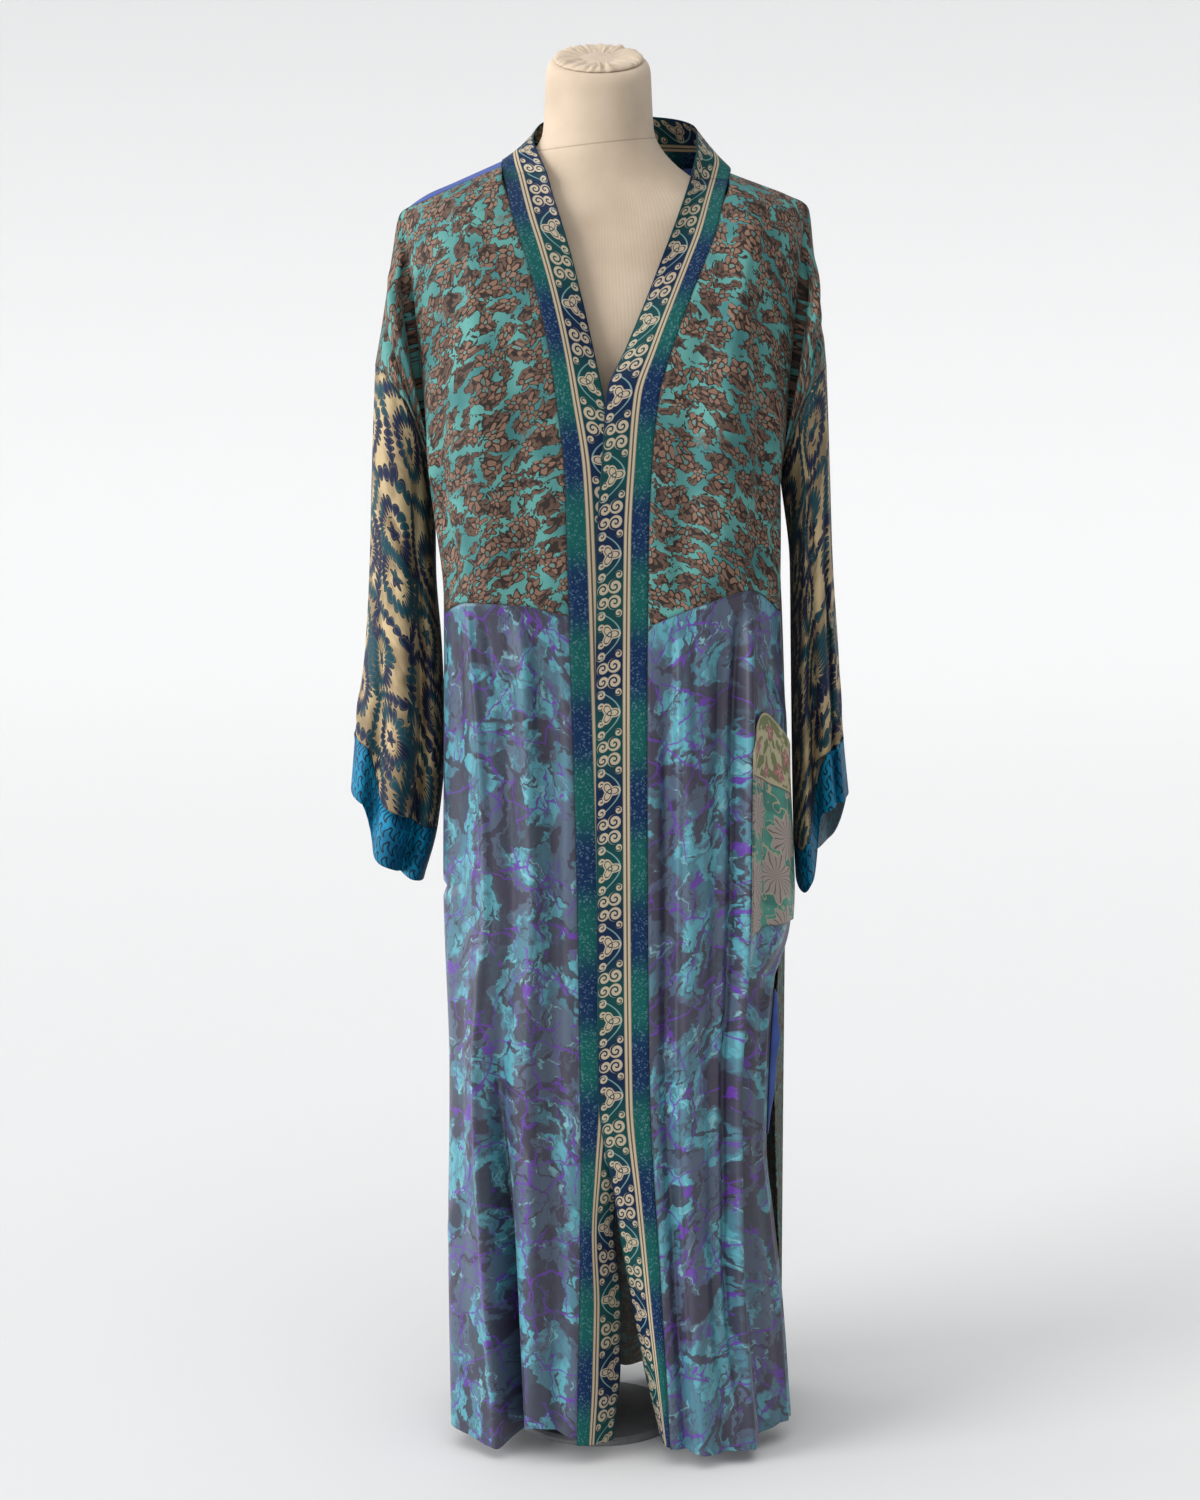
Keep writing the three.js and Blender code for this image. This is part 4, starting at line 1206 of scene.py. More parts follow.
@dataclass(frozen=True)
class BlossomCrepe(Fabric):
    """Block-printed crepe: clusters of outlined blossoms and leaves, with winding channels of bare ground."""

    ground: tuple[str, str] = ("#58958f", "#3e7877")
    bloom: tuple[str, str] = ("#8d6e5c", "#6f5446")
    shade: str = "#2d2420"
    outline: str = "#17110e"
    channel: float = 4.2

    def bank(self, n: Add, p: Socket) -> Socket:
        """How deep in mm a place lies inside a bank of leaves, below 0 in the channels between banks.

        Args:
            n: adds a node.
            p: the places in mm.

        Returns:
            The depth in mm.
        """
        turned = n("Mapping", p, None, (0.0, 0.0, 0.95), (1.0, 1.5, 1.0))
        border = n(
            "TexVoronoi", Vector=turned, Scale=1 / 34, Randomness=1.0,
            feature="DISTANCE_TO_EDGE", voronoi_dimensions="2D",
        )
        noise = n("TexNoise", Vector=p, Scale=1 / 22, Detail=1.0, noise_dimensions="2D")
        width = n("MapRange", noise, 0.36, 0.62, 0.9, self.channel * 1.5)
        return n("Math MULTIPLY_ADD", border, 34.0, n("Math MULTIPLY", width, -1.0))

    def print(self, n: Add, p: Socket) -> Socket:
        """Blossoms 19 mm across and leaves 9 mm, in banks some 30 mm wide with channels of up to 9 mm.

        Args:
            n: adds a node.
            p: the place on the flat cloth in mm.

        Returns:
            The colour.
        """
        q = wandered(n, p, 30, 20)
        bank = self.bank(n, q)
        flowers = Spot.scattered(n, q, 18, 0.55)
        depth, wave = flowers.petals(n, 5, 9.8, 0.5)
        shown = n("MapRange", self.bank(n, flowers.middle), 0.0, 0.4)
        bloom = n("Math MULTIPLY", n("MapRange", depth, -0.3, 0.3), shown)
        leaves = Spot.scattered(n, n("Mapping", q, (7.3, 3.9, 0.0)), 8.4, 0.85)
        leaf_depth, _ = leaves.petals(n, 3, 5.6, 0.75)
        inside = n("Math MINIMUM", leaf_depth, bank)
        lobed = n("Math ADD", leaf_depth, bank)
        leaf = n("MapRange", inside, -0.3, 0.3)
        brown = n("MixRGB", flowers.tone, *self.bloom)
        ground = n("MixRGB", patches(n, p, 60, 0.35, 0.65), *self.ground)
        color = n("MixRGB", n("MapRange", lobed, -0.3, 0.3), ground, self.shade)
        color = n("MixRGB", leaf, color, n("MixRGB", 0.55, brown, self.shade))
        color = n("MixRGB", bloom, color, brown)
        rib = n("Math MULTIPLY", n("MapRange", wave, -0.6, -0.9), n("MapRange", depth, 0.0, 0.5))
        heart = line_at(n, n("Math SUBTRACT", flowers.radius, 2.7), 1.2)
        lines = n("Math MULTIPLY", most(n, line_at(n, depth, 1.5), rib, heart), shown)
        eye = n("Math MULTIPLY", n("MapRange", flowers.radius, 1.5, 2.1, 1.0, 0.0), shown)
        color = n("MixRGB", n("Math MULTIPLY", lines, 0.9), color, self.outline)
        return n("MixRGB", n("Math MULTIPLY", eye, 0.7), color, ground)


@dataclass(frozen=True)
class MarbledSilk(Fabric):
    """Silk printed with broad brushed patches and fine violet branching strokes."""

    light: str = "#4e95a2"
    middle: str = "#3f7080"
    deep: str = "#46556a"
    dark: str = "#30293c"
    stroke: str = "#5a2a94"

    def streak(self, n: Add, p: Socket, size: float, width: float) -> Socket:
        """Curving brushed bands as a mask, from noise of a size in mm.

        Args:
            n: adds a node.
            p: the places in mm.
            size: the noise's size in mm.
            width: half the share of its range that the bands take.

        Returns:
            The mask.
        """
        noise = n("TexNoise", Vector=p, Scale=1 / size, Detail=2.0, noise_dimensions="2D")
        level = n("Math ABSOLUTE", n("Math SUBTRACT", noise, 0.5))
        return n("MapRange", level, width * 0.85, width * 1.05, 1.0, 0.0)

    def crazing(self, n: Add, p: Socket, cell: float, half: float, where: Socket) -> Socket:
        """Crooked branching strokes of a half width in mm round cells of a size in mm, where a mask allows.

        Args:
            n: adds a node.
            p: the places in mm.
            cell: a cell's size in mm.
            half: half the width of a stroke in mm.
            where: the mask that allows strokes.

        Returns:
            The mask of the strokes.
        """
        border = n(
            "TexVoronoi", Vector=p, Scale=1 / cell, feature="DISTANCE_TO_EDGE", voronoi_dimensions="2D",
        )
        stroke = n("MapRange", border, half * 0.7 / cell, half * 1.3 / cell, 1.0, 0.0)
        return n("Math MULTIPLY", stroke, where)

    def print(self, n: Add, p: Socket) -> Socket:
        """Brushed patches 30 to 80 mm across, dark bands 6 to 12 mm wide, strokes 1 to 2 mm thick.

        Args:
            n: adds a node.
            p: the place on the flat cloth in mm.

        Returns:
            The colour.
        """
        fine = wandered(n, p, 6, 6)
        rough = wandered(n, fine, 22, 20)
        swept = wandered(n, rough, 110, 90)
        slanted = n("Mapping", swept, None, (0.0, 0.0, 0.45), (1.0, 0.5, 1.0))
        brushed = n("Mapping", rough, (40.0, 90.0, 0.0), (0.0, 0.0, 0.8), (1.0, 0.6, 1.0))
        color = n("MixRGB", patches(n, brushed, 30, 0.47, 0.52, 4.0), self.middle, self.light)
        color = n("MixRGB", patches(n, slanted, 50, 0.49, 0.54, 4.0), color, self.deep)
        daub = n("Mapping", fine, (0.0, 0.0, 0.0), (0.0, 0.0, 0.7), (1.0, 0.3, 1.0))
        daubs = n("Math MULTIPLY", patches(n, daub, 7, 0.53, 0.6, 3.0), 0.4)
        color = n("MixRGB", daubs, color, self.deep)
        glint = n("Math MULTIPLY", self.streak(n, n("Mapping", slanted, (90.0, 500.0, 0.0)), 34, 0.012),
                  patches(n, p, 34, 0.48, 0.52))
        color = n("MixRGB", n("Math MULTIPLY", glint, 0.6), color, "#7cb4ba")
        hatch = n("Math MULTIPLY", self.streak(n, n("Mapping", brushed, (20.0, 800.0, 0.0)), 15, 0.03),
                  patches(n, rough, 40, 0.47, 0.5))
        color = n("MixRGB", n("Math MULTIPLY", hatch, 0.5), color, self.dark)
        blot = patches(n, n("Mapping", slanted, (600.0, 0.0, 0.0)), 44, 0.575, 0.59, 3.0)
        bands = n("Math MULTIPLY", self.streak(n, slanted, 66, 0.026), patches(n, p, 60, 0.42, 0.46))
        wisp_at = n("Mapping", slanted, (300.0, 70.0, 0.0), (0.0, 0.0, 1.9))
        wisps = n("Math MULTIPLY", self.streak(n, wisp_at, 34, 0.018), patches(n, swept, 45, 0.49, 0.52))
        color = n("MixRGB", n("Math MULTIPLY", most(n, blot, bands, wisps), 0.88), color, self.dark)
        crooked = wandered(n, p, 15, 11)
        leant = n("Mapping", crooked, None, (0.0, 0.0, 1.1), (1.0, 0.5, 1.0))
        strokes = most(
            n,
            self.crazing(n, crooked, 70, 0.85, patches(n, p, 70, 0.42, 0.43)),
            self.crazing(n, leant, 27, 0.65, patches(n, swept, 52, 0.5, 0.51)),
            patches(n, rough, 24, 0.69, 0.7, 3.0),
        )
        return n("MixRGB", n("Math MULTIPLY", strokes, 0.9), color, self.stroke)


@dataclass(frozen=True)
class DyedSilk(Fabric):
    """Plain piece-dyed silk, its colour a little cloudy from the dye bath."""

    shade: tuple[str, str] = ("#42599e", "#354b88")

    def print(self, n: Add, p: Socket) -> Socket:
        """Faint clouds some 40 mm across."""
        return n("MixRGB", patches(n, p, 40, 0.3, 0.7, 3.0), *self.shade)


@dataclass(frozen=True)
class ChainScrollCrepe(Fabric):
    """Cream crepe printed with rings of leafy chain round small flowers."""

    cream: tuple[str, str] = ("#b8a37d", "#857356")
    leaf: tuple[str, str] = ("#0a1b3a", "#063d49")
    line: str = "#0a1422"
    cell: float = 78.0

    def print(self, n: Add, p: Socket) -> Socket:
        """Rings 60 mm wide and 48 mm tall on cells of 98 by 78 mm, leaves 6 mm long, flowers 20 mm.

        Args:
            n: adds a node.
            p: the place on the flat cloth in mm.

        Returns:
            The colour.
        """
        q = wandered(n, n("VectorMath MULTIPLY", p, (0.8, 1.0, 1.0)), 40, 18)
        cell = Spot.scattered(n, q, self.cell, 0.55)
        oval = n("Math COSINE", n("Math MULTIPLY", cell.turn, 2.0))
        ring = n("Math SUBTRACT", cell.radius, n("Math MULTIPLY_ADD", oval, -2.5, 24.0))
        leafing = n("Math SINE", n("Math MULTIPLY", cell.turn, 11.0))
        lobes = n("Math POWER", n("Math ABSOLUTE", leafing), 0.55)
        ring_depth = n("Math SUBTRACT", n("Math MULTIPLY_ADD", lobes, 7.4, 1.4), n("Math ABSOLUTE", ring))
        border = n(
            "TexVoronoi", Vector=q, Scale=1 / self.cell, Randomness=0.55,
            feature="DISTANCE_TO_EDGE", voronoi_dimensions="2D",
        )
        reach = n("Math MULTIPLY", border, self.cell)
        twigging = n("Math SINE", n("Math MULTIPLY", cell.turn, 17.0))
        twigs = n("Math POWER", n("Math ABSOLUTE", twigging), 0.55)
        border_depth = n("Math SUBTRACT", n("Math MULTIPLY_ADD", twigs, 6.8, 1.2), reach)
        flower_depth, wave = cell.petals(n, 5, 10.0, 0.45)
        depth = most(n, ring_depth, border_depth, flower_depth)
        body = n("MapRange", depth, -0.3, 0.3)
        hairs = n("Math MULTIPLY", line_at(n, n("Math SUBTRACT", cell.radius, 13.0), 1.0),
                  n("MapRange", wave, 0.2, 0.5))
        color = n("MixRGB", patches(n, p, 45, 0.35, 0.65, 3.0), *self.cream)
        leaf = n("MixRGB", patches(n, p, 55, 0.47, 0.53), *self.leaf)
        color = n("MixRGB", hairs, color, leaf)
        color = n("MixRGB", body, color, leaf)
        vein = line_at(n, n("Math SUBTRACT", depth, 2.6), 0.8)
        color = n("MixRGB", n("Math MULTIPLY", vein, 0.4), color, self.cream[1])
        rim = line_at(n, n("Math SUBTRACT", depth, 0.3), 1.0)
        return n("MixRGB", n("Math MULTIPLY", rim, 0.6), color, self.line)


@dataclass(frozen=True)
class SquiggleSilk(Fabric):
    """Teal-blue silk with dark meandering pen strokes."""

    ground: tuple[str, str] = ("#0579a0", "#035a7e")
    stroke: str = "#011a28"

    def print(self, n: Add, p: Socket) -> Socket:
        """Strokes 2.3 mm thick in rows 16.5 mm apart, swinging 12 mm up and down, so steep that they lean.

        Args:
            n: adds a node.
            p: the place on the flat cloth in mm.

        Returns:
            The colour.
        """
        q = n("SeparateXYZ", wandered(n, p, 34, 6))
        down = q.node.outputs[1]
        lean = n("Math SINE", n("Math MULTIPLY", down, 2 * math.pi / 15))
        turn = n("Math MULTIPLY", n("Math MULTIPLY_ADD", lean, 1.8, q), 2 * math.pi / 12.5)
        swing = n("Math SINE", turn)
        rise = n("Math MULTIPLY", n("Math COSINE", turn), 3.0)
        steep = n("Math SQRT", n("Math MULTIPLY_ADD", rise, rise, 1.0))
        row = n("Math MULTIPLY_ADD", swing, 0.37, n("Math MULTIPLY", down, 1 / 16.5))
        level = n("Math SUBTRACT", n("Math FRACT", row), 0.5)
        off = n("Math DIVIDE", n("Math MULTIPLY", n("Math ABSOLUTE", level), 16.5), steep)
        stroke = n("MapRange", off, 0.95, 1.35, 1.0, 0.0)
        color = n("MixRGB", patches(n, p, 30, 0.35, 0.65), *self.ground)
        return n("MixRGB", n("Math MULTIPLY", stroke, 0.92), color, self.stroke)


@dataclass(frozen=True)
class RibbonTrim(Fabric):
    """Woven ribbon: a shaded stripe with painted glints of its metallic weft, a cream double cord with
    painted shade and a palmette border in cream thread.
    """

    dark: str = "#06254a"
    teal: str = "#07504c"
    cream: str = "#b3a48c"
    glitter: str = "#8fb8c4"
    shade_repeat: float = 145.0
    motif_repeat: float = 84.0
    stripe: float = 19.5
    cord: float = 8.5
    width: float = 58.0

    def motif(self, n: Add, across: Socket, y: Socket) -> tuple[Socket, Socket]:
        """The border's figures, a three-lobed lotus under an arching vine and pairs of curls, each mirrored.

        Args:
            n: adds a node.
            across: mm from the border's middle line.
            y: mm along the ribbon.

        Returns:
            The masks of the cream figures and of the vine.
        """
        half = self.motif_repeat / 2
        along = n("Math FRACT", n("Math MULTIPLY", y, 1 / self.motif_repeat))
        along = n("Math MULTIPLY_ADD", along, self.motif_repeat, -half)
        along = n("Math ABSOLUTE", along)
        place = n("CombineXYZ", across, along, 0.0)
        bow = n("Math COSINE", n("Math MULTIPLY", along, math.pi / 54))
        arch = line_at(n, n("Math MULTIPLY_ADD", bow, 24.5, n("Math ADD", across, -12.5)), 1.7)
        arch = n("Math MULTIPLY", arch, n("MapRange", along, 25.5, 26.5, 1.0, 0.0))
        lotus = Spot.around(n, place, (-0.5, 0.0, 0.0))
        lobes = n("Math COSINE", n("Math MULTIPLY", lotus.turn, 3.0))
        depth = n("Math SUBTRACT", n("Math MULTIPLY_ADD", lobes, -3.2, 9.2), lotus.radius)
        inner = line_at(n, n("Math SUBTRACT", depth, 2.7), 1.3)
        body = n("Math SUBTRACT", n("MapRange", depth, -0.3, 0.3), inner, use_clamp=True)
        core = line_at(n, n("Math SUBTRACT", lotus.radius, 2.2), 1.1)
        body = n("Math SUBTRACT", body, core, use_clamp=True)
        curls = [
            Spot.around(n, place, (cx, cy, 0.0)).curl(n, reach, pitch, hand)
            for cx, cy, reach, pitch, hand in (
                (-5.6, 33.5, 7.6, 5.4, 1), (7.2, 35.0, 6.4, 5.0, -1), (-10.2, 21.5, 4.0, 3.8, -1),
                (9.2, 21.5, 4.8, 4.2, 1), (9.2, 9.0, 4.0, 4.0, -1),
            )
        ]
        return most(n, body, *curls), arch

    def print(self, n: Add, p: Socket) -> Socket:
        """Stripe 20 mm, cord 8 mm and border 30 mm wide; its palmettes repeat every 84 mm.

        Args:
            n: adds a node.
            p: the place on the flat cloth in mm.

        Returns:
            The colour.
        """
        x = n("SeparateXYZ", p)
        y = x.node.outputs[1]
        turn = n("Math MULTIPLY", y, 2 * math.pi / self.shade_repeat)
        shade = n("MapRange", n("Math SINE", turn), -0.9, 0.9, interpolation_type="SMOOTHSTEP")
        ground = n("MixRGB", shade, self.dark, self.teal)
        # Painted glints: pale specks of the metallic weft, their glint fixed in the colour.
        speck = n("TexVoronoi", Vector=p, Scale=1 / 1.5, voronoi_dimensions="2D", out="Color")
        painted_glint_mask = n("MapRange", n("SeparateXYZ", speck), 0.8, 0.95)
        ground_with_painted_glints = n("MixRGB", n("Math MULTIPLY", painted_glint_mask, 0.2), ground, self.glitter)
        across = n("Math SUBTRACT", x, (self.stripe + self.cord + self.width) / 2)
        figures, vine = self.motif(n, across, y)
        inner = n("MapRange", n("Math ABSOLUTE", across), 13.8, 14.6, 1.0, 0.0)
        border = n("MixRGB", 0.45, ground, "#081626")
        border = n("MixRGB", n("Math MULTIPLY", vine, n("Math MULTIPLY", inner, 0.7)), border, "#7fa3a0")
        shown = n("Math MULTIPLY", figures, n("Math MULTIPLY", inner, 0.92))
        border = n("MixRGB", shown, border, self.cream)
        cord_at = self.stripe + self.cord / 2
        from_cord = n("Math ABSOLUTE", n("Math SUBTRACT", x, cord_at))
        # Painted shade: the groove between the two cords and the cords' outer edges are darkened in the
        # colour.
        painted_groove_shade = n("MapRange", from_cord, 0.6, 1.2, 0.85, 0.0)
        cord = n("MixRGB", painted_groove_shade, self.cream, "#241d18")
        shaded = n("MapRange", from_cord, self.cord / 2 - 1.3, self.cord / 2, 0.0, 0.8)
        cord = n("MixRGB", shaded, cord, "#2c241d")
        color = n("MixRGB", n("Math GREATER_THAN", x, cord_at), ground_with_painted_glints, border)
        return n("MixRGB", n("Math LESS_THAN", from_cord, self.cord / 2), color, cord)


@dataclass(frozen=True)
class BlotchFlap(Fabric):
    """Cream cloth with rosy blooms and olive leaves, piped in cream along its lower edge."""

    def print(self, n: Add, p: Socket) -> Socket:
        """Blooms 20 mm across.

        Args:
            n: adds a node.
            p: the place on the flat cloth in mm.

        Returns:
            The colour.
        """
        spot = Spot.scattered(n, wandered(n, p, 18, 8), 33, 0.7)
        depth, wave = spot.petals(n, 5, 10, 0.4)
        color = n("MixRGB", patches(n, p, 14, 0.47, 0.53, 2.0), "#b3aa8c", "#727a55")
        color = n("MixRGB", n("MapRange", depth, -0.3, 0.6), color, "#a07270")
        color = n("MixRGB", n("MapRange", depth, 4.0, 7.0), color, "#bb9a8c")
        lines = n("Math MAXIMUM", line_at(n, depth, 1.0), n("MapRange", wave, -0.6, -0.9))
        lines = n("Math MULTIPLY", lines, n("MapRange", depth, -0.6, 0.0))
        color = n("MixRGB", n("Math MULTIPLY", lines, 0.55), color, "#6b4a3c")
        edge = n("Attribute", attribute_name="edge", out="Fac")
        return n("MixRGB", n("MapRange", edge, 2.2, 2.8, 1.0, 0.0), color, "#bfb396")


@dataclass(frozen=True)
class LotusCloth(Fabric):
    """Turquoise-green cloth with veined lotus leaves on cream scrolling stems."""

    def print(self, n: Add, p: Socket) -> Socket:
        """Leaves 50 mm across with veins 1 to 2 mm thick.

        Args:
            n: adds a node.
            p: the place on the flat cloth in mm.

        Returns:
            The colour.
        """
        q = wandered(n, p, 30, 10)
        spot = Spot.scattered(n, q, 60, 0.5)
        depth, _ = spot.petals(n, 9, 29, 0.3)
        vein_wave = n("Math COSINE", n("Math MULTIPLY", spot.turn, 18.0))
        veins = n("Math MULTIPLY", n("MapRange", vein_wave, 0.72, 0.95), n("MapRange", depth, 0.5, 1.5))
        stem = n("TexNoise", Vector=q, Scale=1 / 38, noise_dimensions="2D")
        stem = n("Math SUBTRACT", n("Math FRACT", n("Math MULTIPLY", stem, 7.0)), 0.5)
        stems = n("MapRange", n("Math ABSOLUTE", stem), 0.035, 0.08, 1.0, 0.0)
        color = n("MixRGB", patches(n, p, 30, 0.4, 0.6), "#4c8f80", "#3a776b")
        color = n("MixRGB", stems, color, "#aea184")
        color = n("MixRGB", n("MapRange", depth, -0.3, 0.4), color, "#a0948d")
        color = n("MixRGB", n("Math MULTIPLY", veins, 0.75), color, "#382b29")
        return n("MixRGB", n("Math MULTIPLY", line_at(n, depth, 1.2), 0.8), color, "#b5a98d")


@dataclass(frozen=True)
class Jersey(Finish):
    """Cream cotton jersey stretched over the form: fine ribs, and one sewn line round the neck.

    The real ribs are 0.8 mm apart; they are drawn at rib mm to show.
    """

    shade: str = "#c6b49e"
    rib: float = 2.2
    seam_z: float = 1.441

    def surface(self, n: Add) -> dict[str, object]:
        """Ribs round the form, faint clouds and the sewn line.

        Args:
            n: adds a node.

        Returns:
            What each named input of the shader gets.
        """
        p = n("TexCoord", out="Object")
        turn = n("SeparateXYZ", p)
        angle = n("Math ARCTAN2", turn.node.outputs[1], turn)
        ribs = n("Math SINE", n("Math MULTIPLY", angle, 2 * math.pi * 57 / self.rib))
        height = n("Math MULTIPLY_ADD", turn, -0.11, turn.node.outputs[2])
        gap = n("Math MULTIPLY", n("Math SUBTRACT", height, self.seam_z), 1000.0)
        sewn = line_at(n, gap, 1.3)
        cloud = n("TexNoise", Vector=p, Scale=18.0, Detail=3.0)
        color = n("MixRGB", n("MapRange", cloud, 0.35, 0.65), self.shade, "#bba892")
        color = n("MixRGB", n("Math MULTIPLY", sewn, 0.35), color, "#6b5f50")
        bulk = n("Math MULTIPLY_ADD", ribs, 0.12, n("Math MULTIPLY", sewn, -1.2))
        normal = n("Bump", Strength=0.5, Distance=0.0005, Height=bulk)
        return {
            "Base Color": color, "Normal": normal, "Roughness": 0.85, "Specular IOR Level": 0.25,
            "Sheen Weight": 0.2,
        }


@dataclass(frozen=True)
class WaxedBeech(Finish):
    """Turned beech rubbed with wax: straight grain with short dark flecks."""

    def surface(self, n: Add) -> dict[str, object]:
        """Grain and flecks drawn out along the pole.

        Args:
            n: adds a node.

        Returns:
            What each named input of the shader gets.
        """
        p = n("TexCoord", out="Object")
        long = n("Mapping", p, Scale=(1.0, 1.0, 0.04))
        grain = n("TexNoise", Vector=long, Scale=420.0, Detail=4.0)
        fleck = n("TexNoise", Vector=long, Scale=1100.0, Detail=1.0)
        color = n("MixRGB", n("MapRange", grain, 0.35, 0.65), "#a67c52", "#7f5a38")
        color = n("MixRGB", n("MapRange", fleck, 0.62, 0.7, 0.0, 0.6), color, "#5a3d26")
        normal = n("Bump", Strength=0.2, Distance=0.0003, Height=grain)
        return {"Base Color": color, "Normal": normal, "Roughness": 0.42}


@dataclass(frozen=True)
class PowderCoat(Finish):
    """Powder-coated steel: even grey with the coat's fine orange peel, evenly rubbed."""

    def surface(self, n: Add) -> dict[str, object]:
        """Orange peel under an evenly rubbed grey.

        Args:
            n: adds a node.

        Returns:
            What each named input of the shader gets.
        """
        p = n("TexCoord", out="Object")
        peel = n("TexNoise", Vector=p, Scale=500.0, Detail=1.0)
        rub = n("TexNoise", Vector=p, Scale=60.0, Detail=4.0)
        color = n("MixRGB", n("MapRange", rub, 0.4, 0.7), "#77787a", "#696a6c")
        normal = n("Bump", Strength=0.25, Distance=0.0002, Height=peel)
        return {"Base Color": color, "Normal": normal, "Roughness": 0.45}


@dataclass(frozen=True)
class StudioPaper(Finish):
    """The pale paper of the sweep: matte, with the faintest fibre."""

    def surface(self, n: Add) -> dict[str, object]:
        """A faint mottle of fibre.

        Args:
            n: adds a node.

        Returns:
            What each named input of the shader gets.
        """
        fibre = n("TexNoise", Vector=n("TexCoord", out="Object"), Scale=40.0, Detail=2.0)
        color = n("MixRGB", n("Math MULTIPLY", fibre, 0.04), "#dbdbdb", "#c8c8c8")
        return {"Base Color": color, "Roughness": 0.9, "Specular IOR Level": 0.1}


def material_of(look: Finish) -> bpy.types.Material:
    """The finish's material, made at its first use."""
    return bpy.data.materials.get(look.name) or look.build()


def dress(piece: bpy.types.Object, face: Finish, back: Finish, node: str) -> None:
    """Gives a piece its finishes and hides the solid that it replaces.

    Args:
        piece: the piece.
        face: the finish of its outside.
        back: the finish of its inside.
        node: the solid that it replaces.
    """
    piece.data.materials.append(material_of(face))
    piece.data.materials.append(material_of(back))
    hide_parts(node)


# Each comment says how the real stuff is made and what that gives the eye.

# Twisted crepe yarns, block printed: pebbled and matte, the ink lying dull in the grain, fainter inside.
PAISLEY = BlossomCrepe("block_printed_crepe")
PAISLEY_BACK = BlossomCrepe("block_printed_crepe_reverse", faded=0.35)
# Long satin floats, marbled like paper: a soft streaky shine down the folds, veins and brushed clouds.
MARBLED = MarbledSilk("marbled_silk_satin", roughness=0.4, specular=0.6, weave=0.1, sheen=0.15)
# Plain silk dyed in the piece: one clear even colour, a low soft shine and a fine thread line.
PERIWINKLE = DyedSilk("piece_dyed_silk", roughness=0.6, specular=0.25)
# The same crepe with dense small sprigs, worn duller: dark, busy and without shine.
DARK_SPRIGS = dict(
    ground=("#4d8c89", "#3c7573"), bloom=("#7b6a57", "#5c5041"), outline="#120e0b", channel=3.2,
)
FLORAL = BlossomCrepe("dark_floral_crepe", sheen=0.0, specular=0.1, **DARK_SPRIGS)
FLORAL_BACK = BlossomCrepe("dark_floral_crepe_reverse", faded=0.35, **DARK_SPRIGS)
# Unbleached crepe, screen printed: warm uneven cream, flat dark chains with a thin keyline, no shine.
SCROLLS = ChainScrollCrepe("chain_scroll_crepe")
SCROLLS_BACK = ChainScrollCrepe("chain_scroll_crepe_reverse", faded=0.5)
# Silk dyed twice, then drawn on: deep clear teal with cloudy depth and inky winding strokes.
SQUIGGLES = SquiggleSilk("pen_stroke_silk", roughness=0.55, specular=0.15, sheen=0.0)
SQUIGGLES_BACK = SquiggleSilk("pen_stroke_silk_reverse", roughness=0.5, faded=0.3)
# Jacquard ribbon with metallic weft: raised cream figures and cords with painted shade, glinting points
# painted as pale specks in a shaded stripe.
TRIM = RibbonTrim("glitter_ribbon", roughness=0.55, specular=0.15, weave=0.4, sheen=0.0)
TRIM_BACK = DyedSilk("ribbon_reverse", shade=("#2c4f74", "#2a5c66"))
# Soft plain cotton, roller printed: dull cream and olive blots under rosy blooms.
FLAP = BlotchFlap("rose_print_cotton")
# Thin printed silk: smooth turquoise with pale outlined petals and a slight shine.
LOTUS = LotusCloth("lotus_print_silk", roughness=0.55)
# Knitted cotton drawn tight over foam: fine ribs down the form, fuzzy matte cream, a seam round the neck.
JERSEY = Jersey("cotton_jersey")
JERSEY_GATHERED = Jersey("cotton_jersey_gathered", seam_z=3.0)
# Beech turned on a lathe and waxed: straight grain up the pole, short flecks, a silky shine.
WAXED_BEECH = WaxedBeech("waxed_beech")
# Steel sprayed with powder and baked: an even grey skin with a faint orange peel that spreads the light.
POWDER_COAT = PowderCoat("powder_coated_steel")
# Uncoated paper on a roll: pale, matte and nearly even, so shadows stay soft.
PALE_PAPER = StudioPaper("pale_studio_paper")

# ---- sub-assemblies ----------------------------------------------------------------------------------------


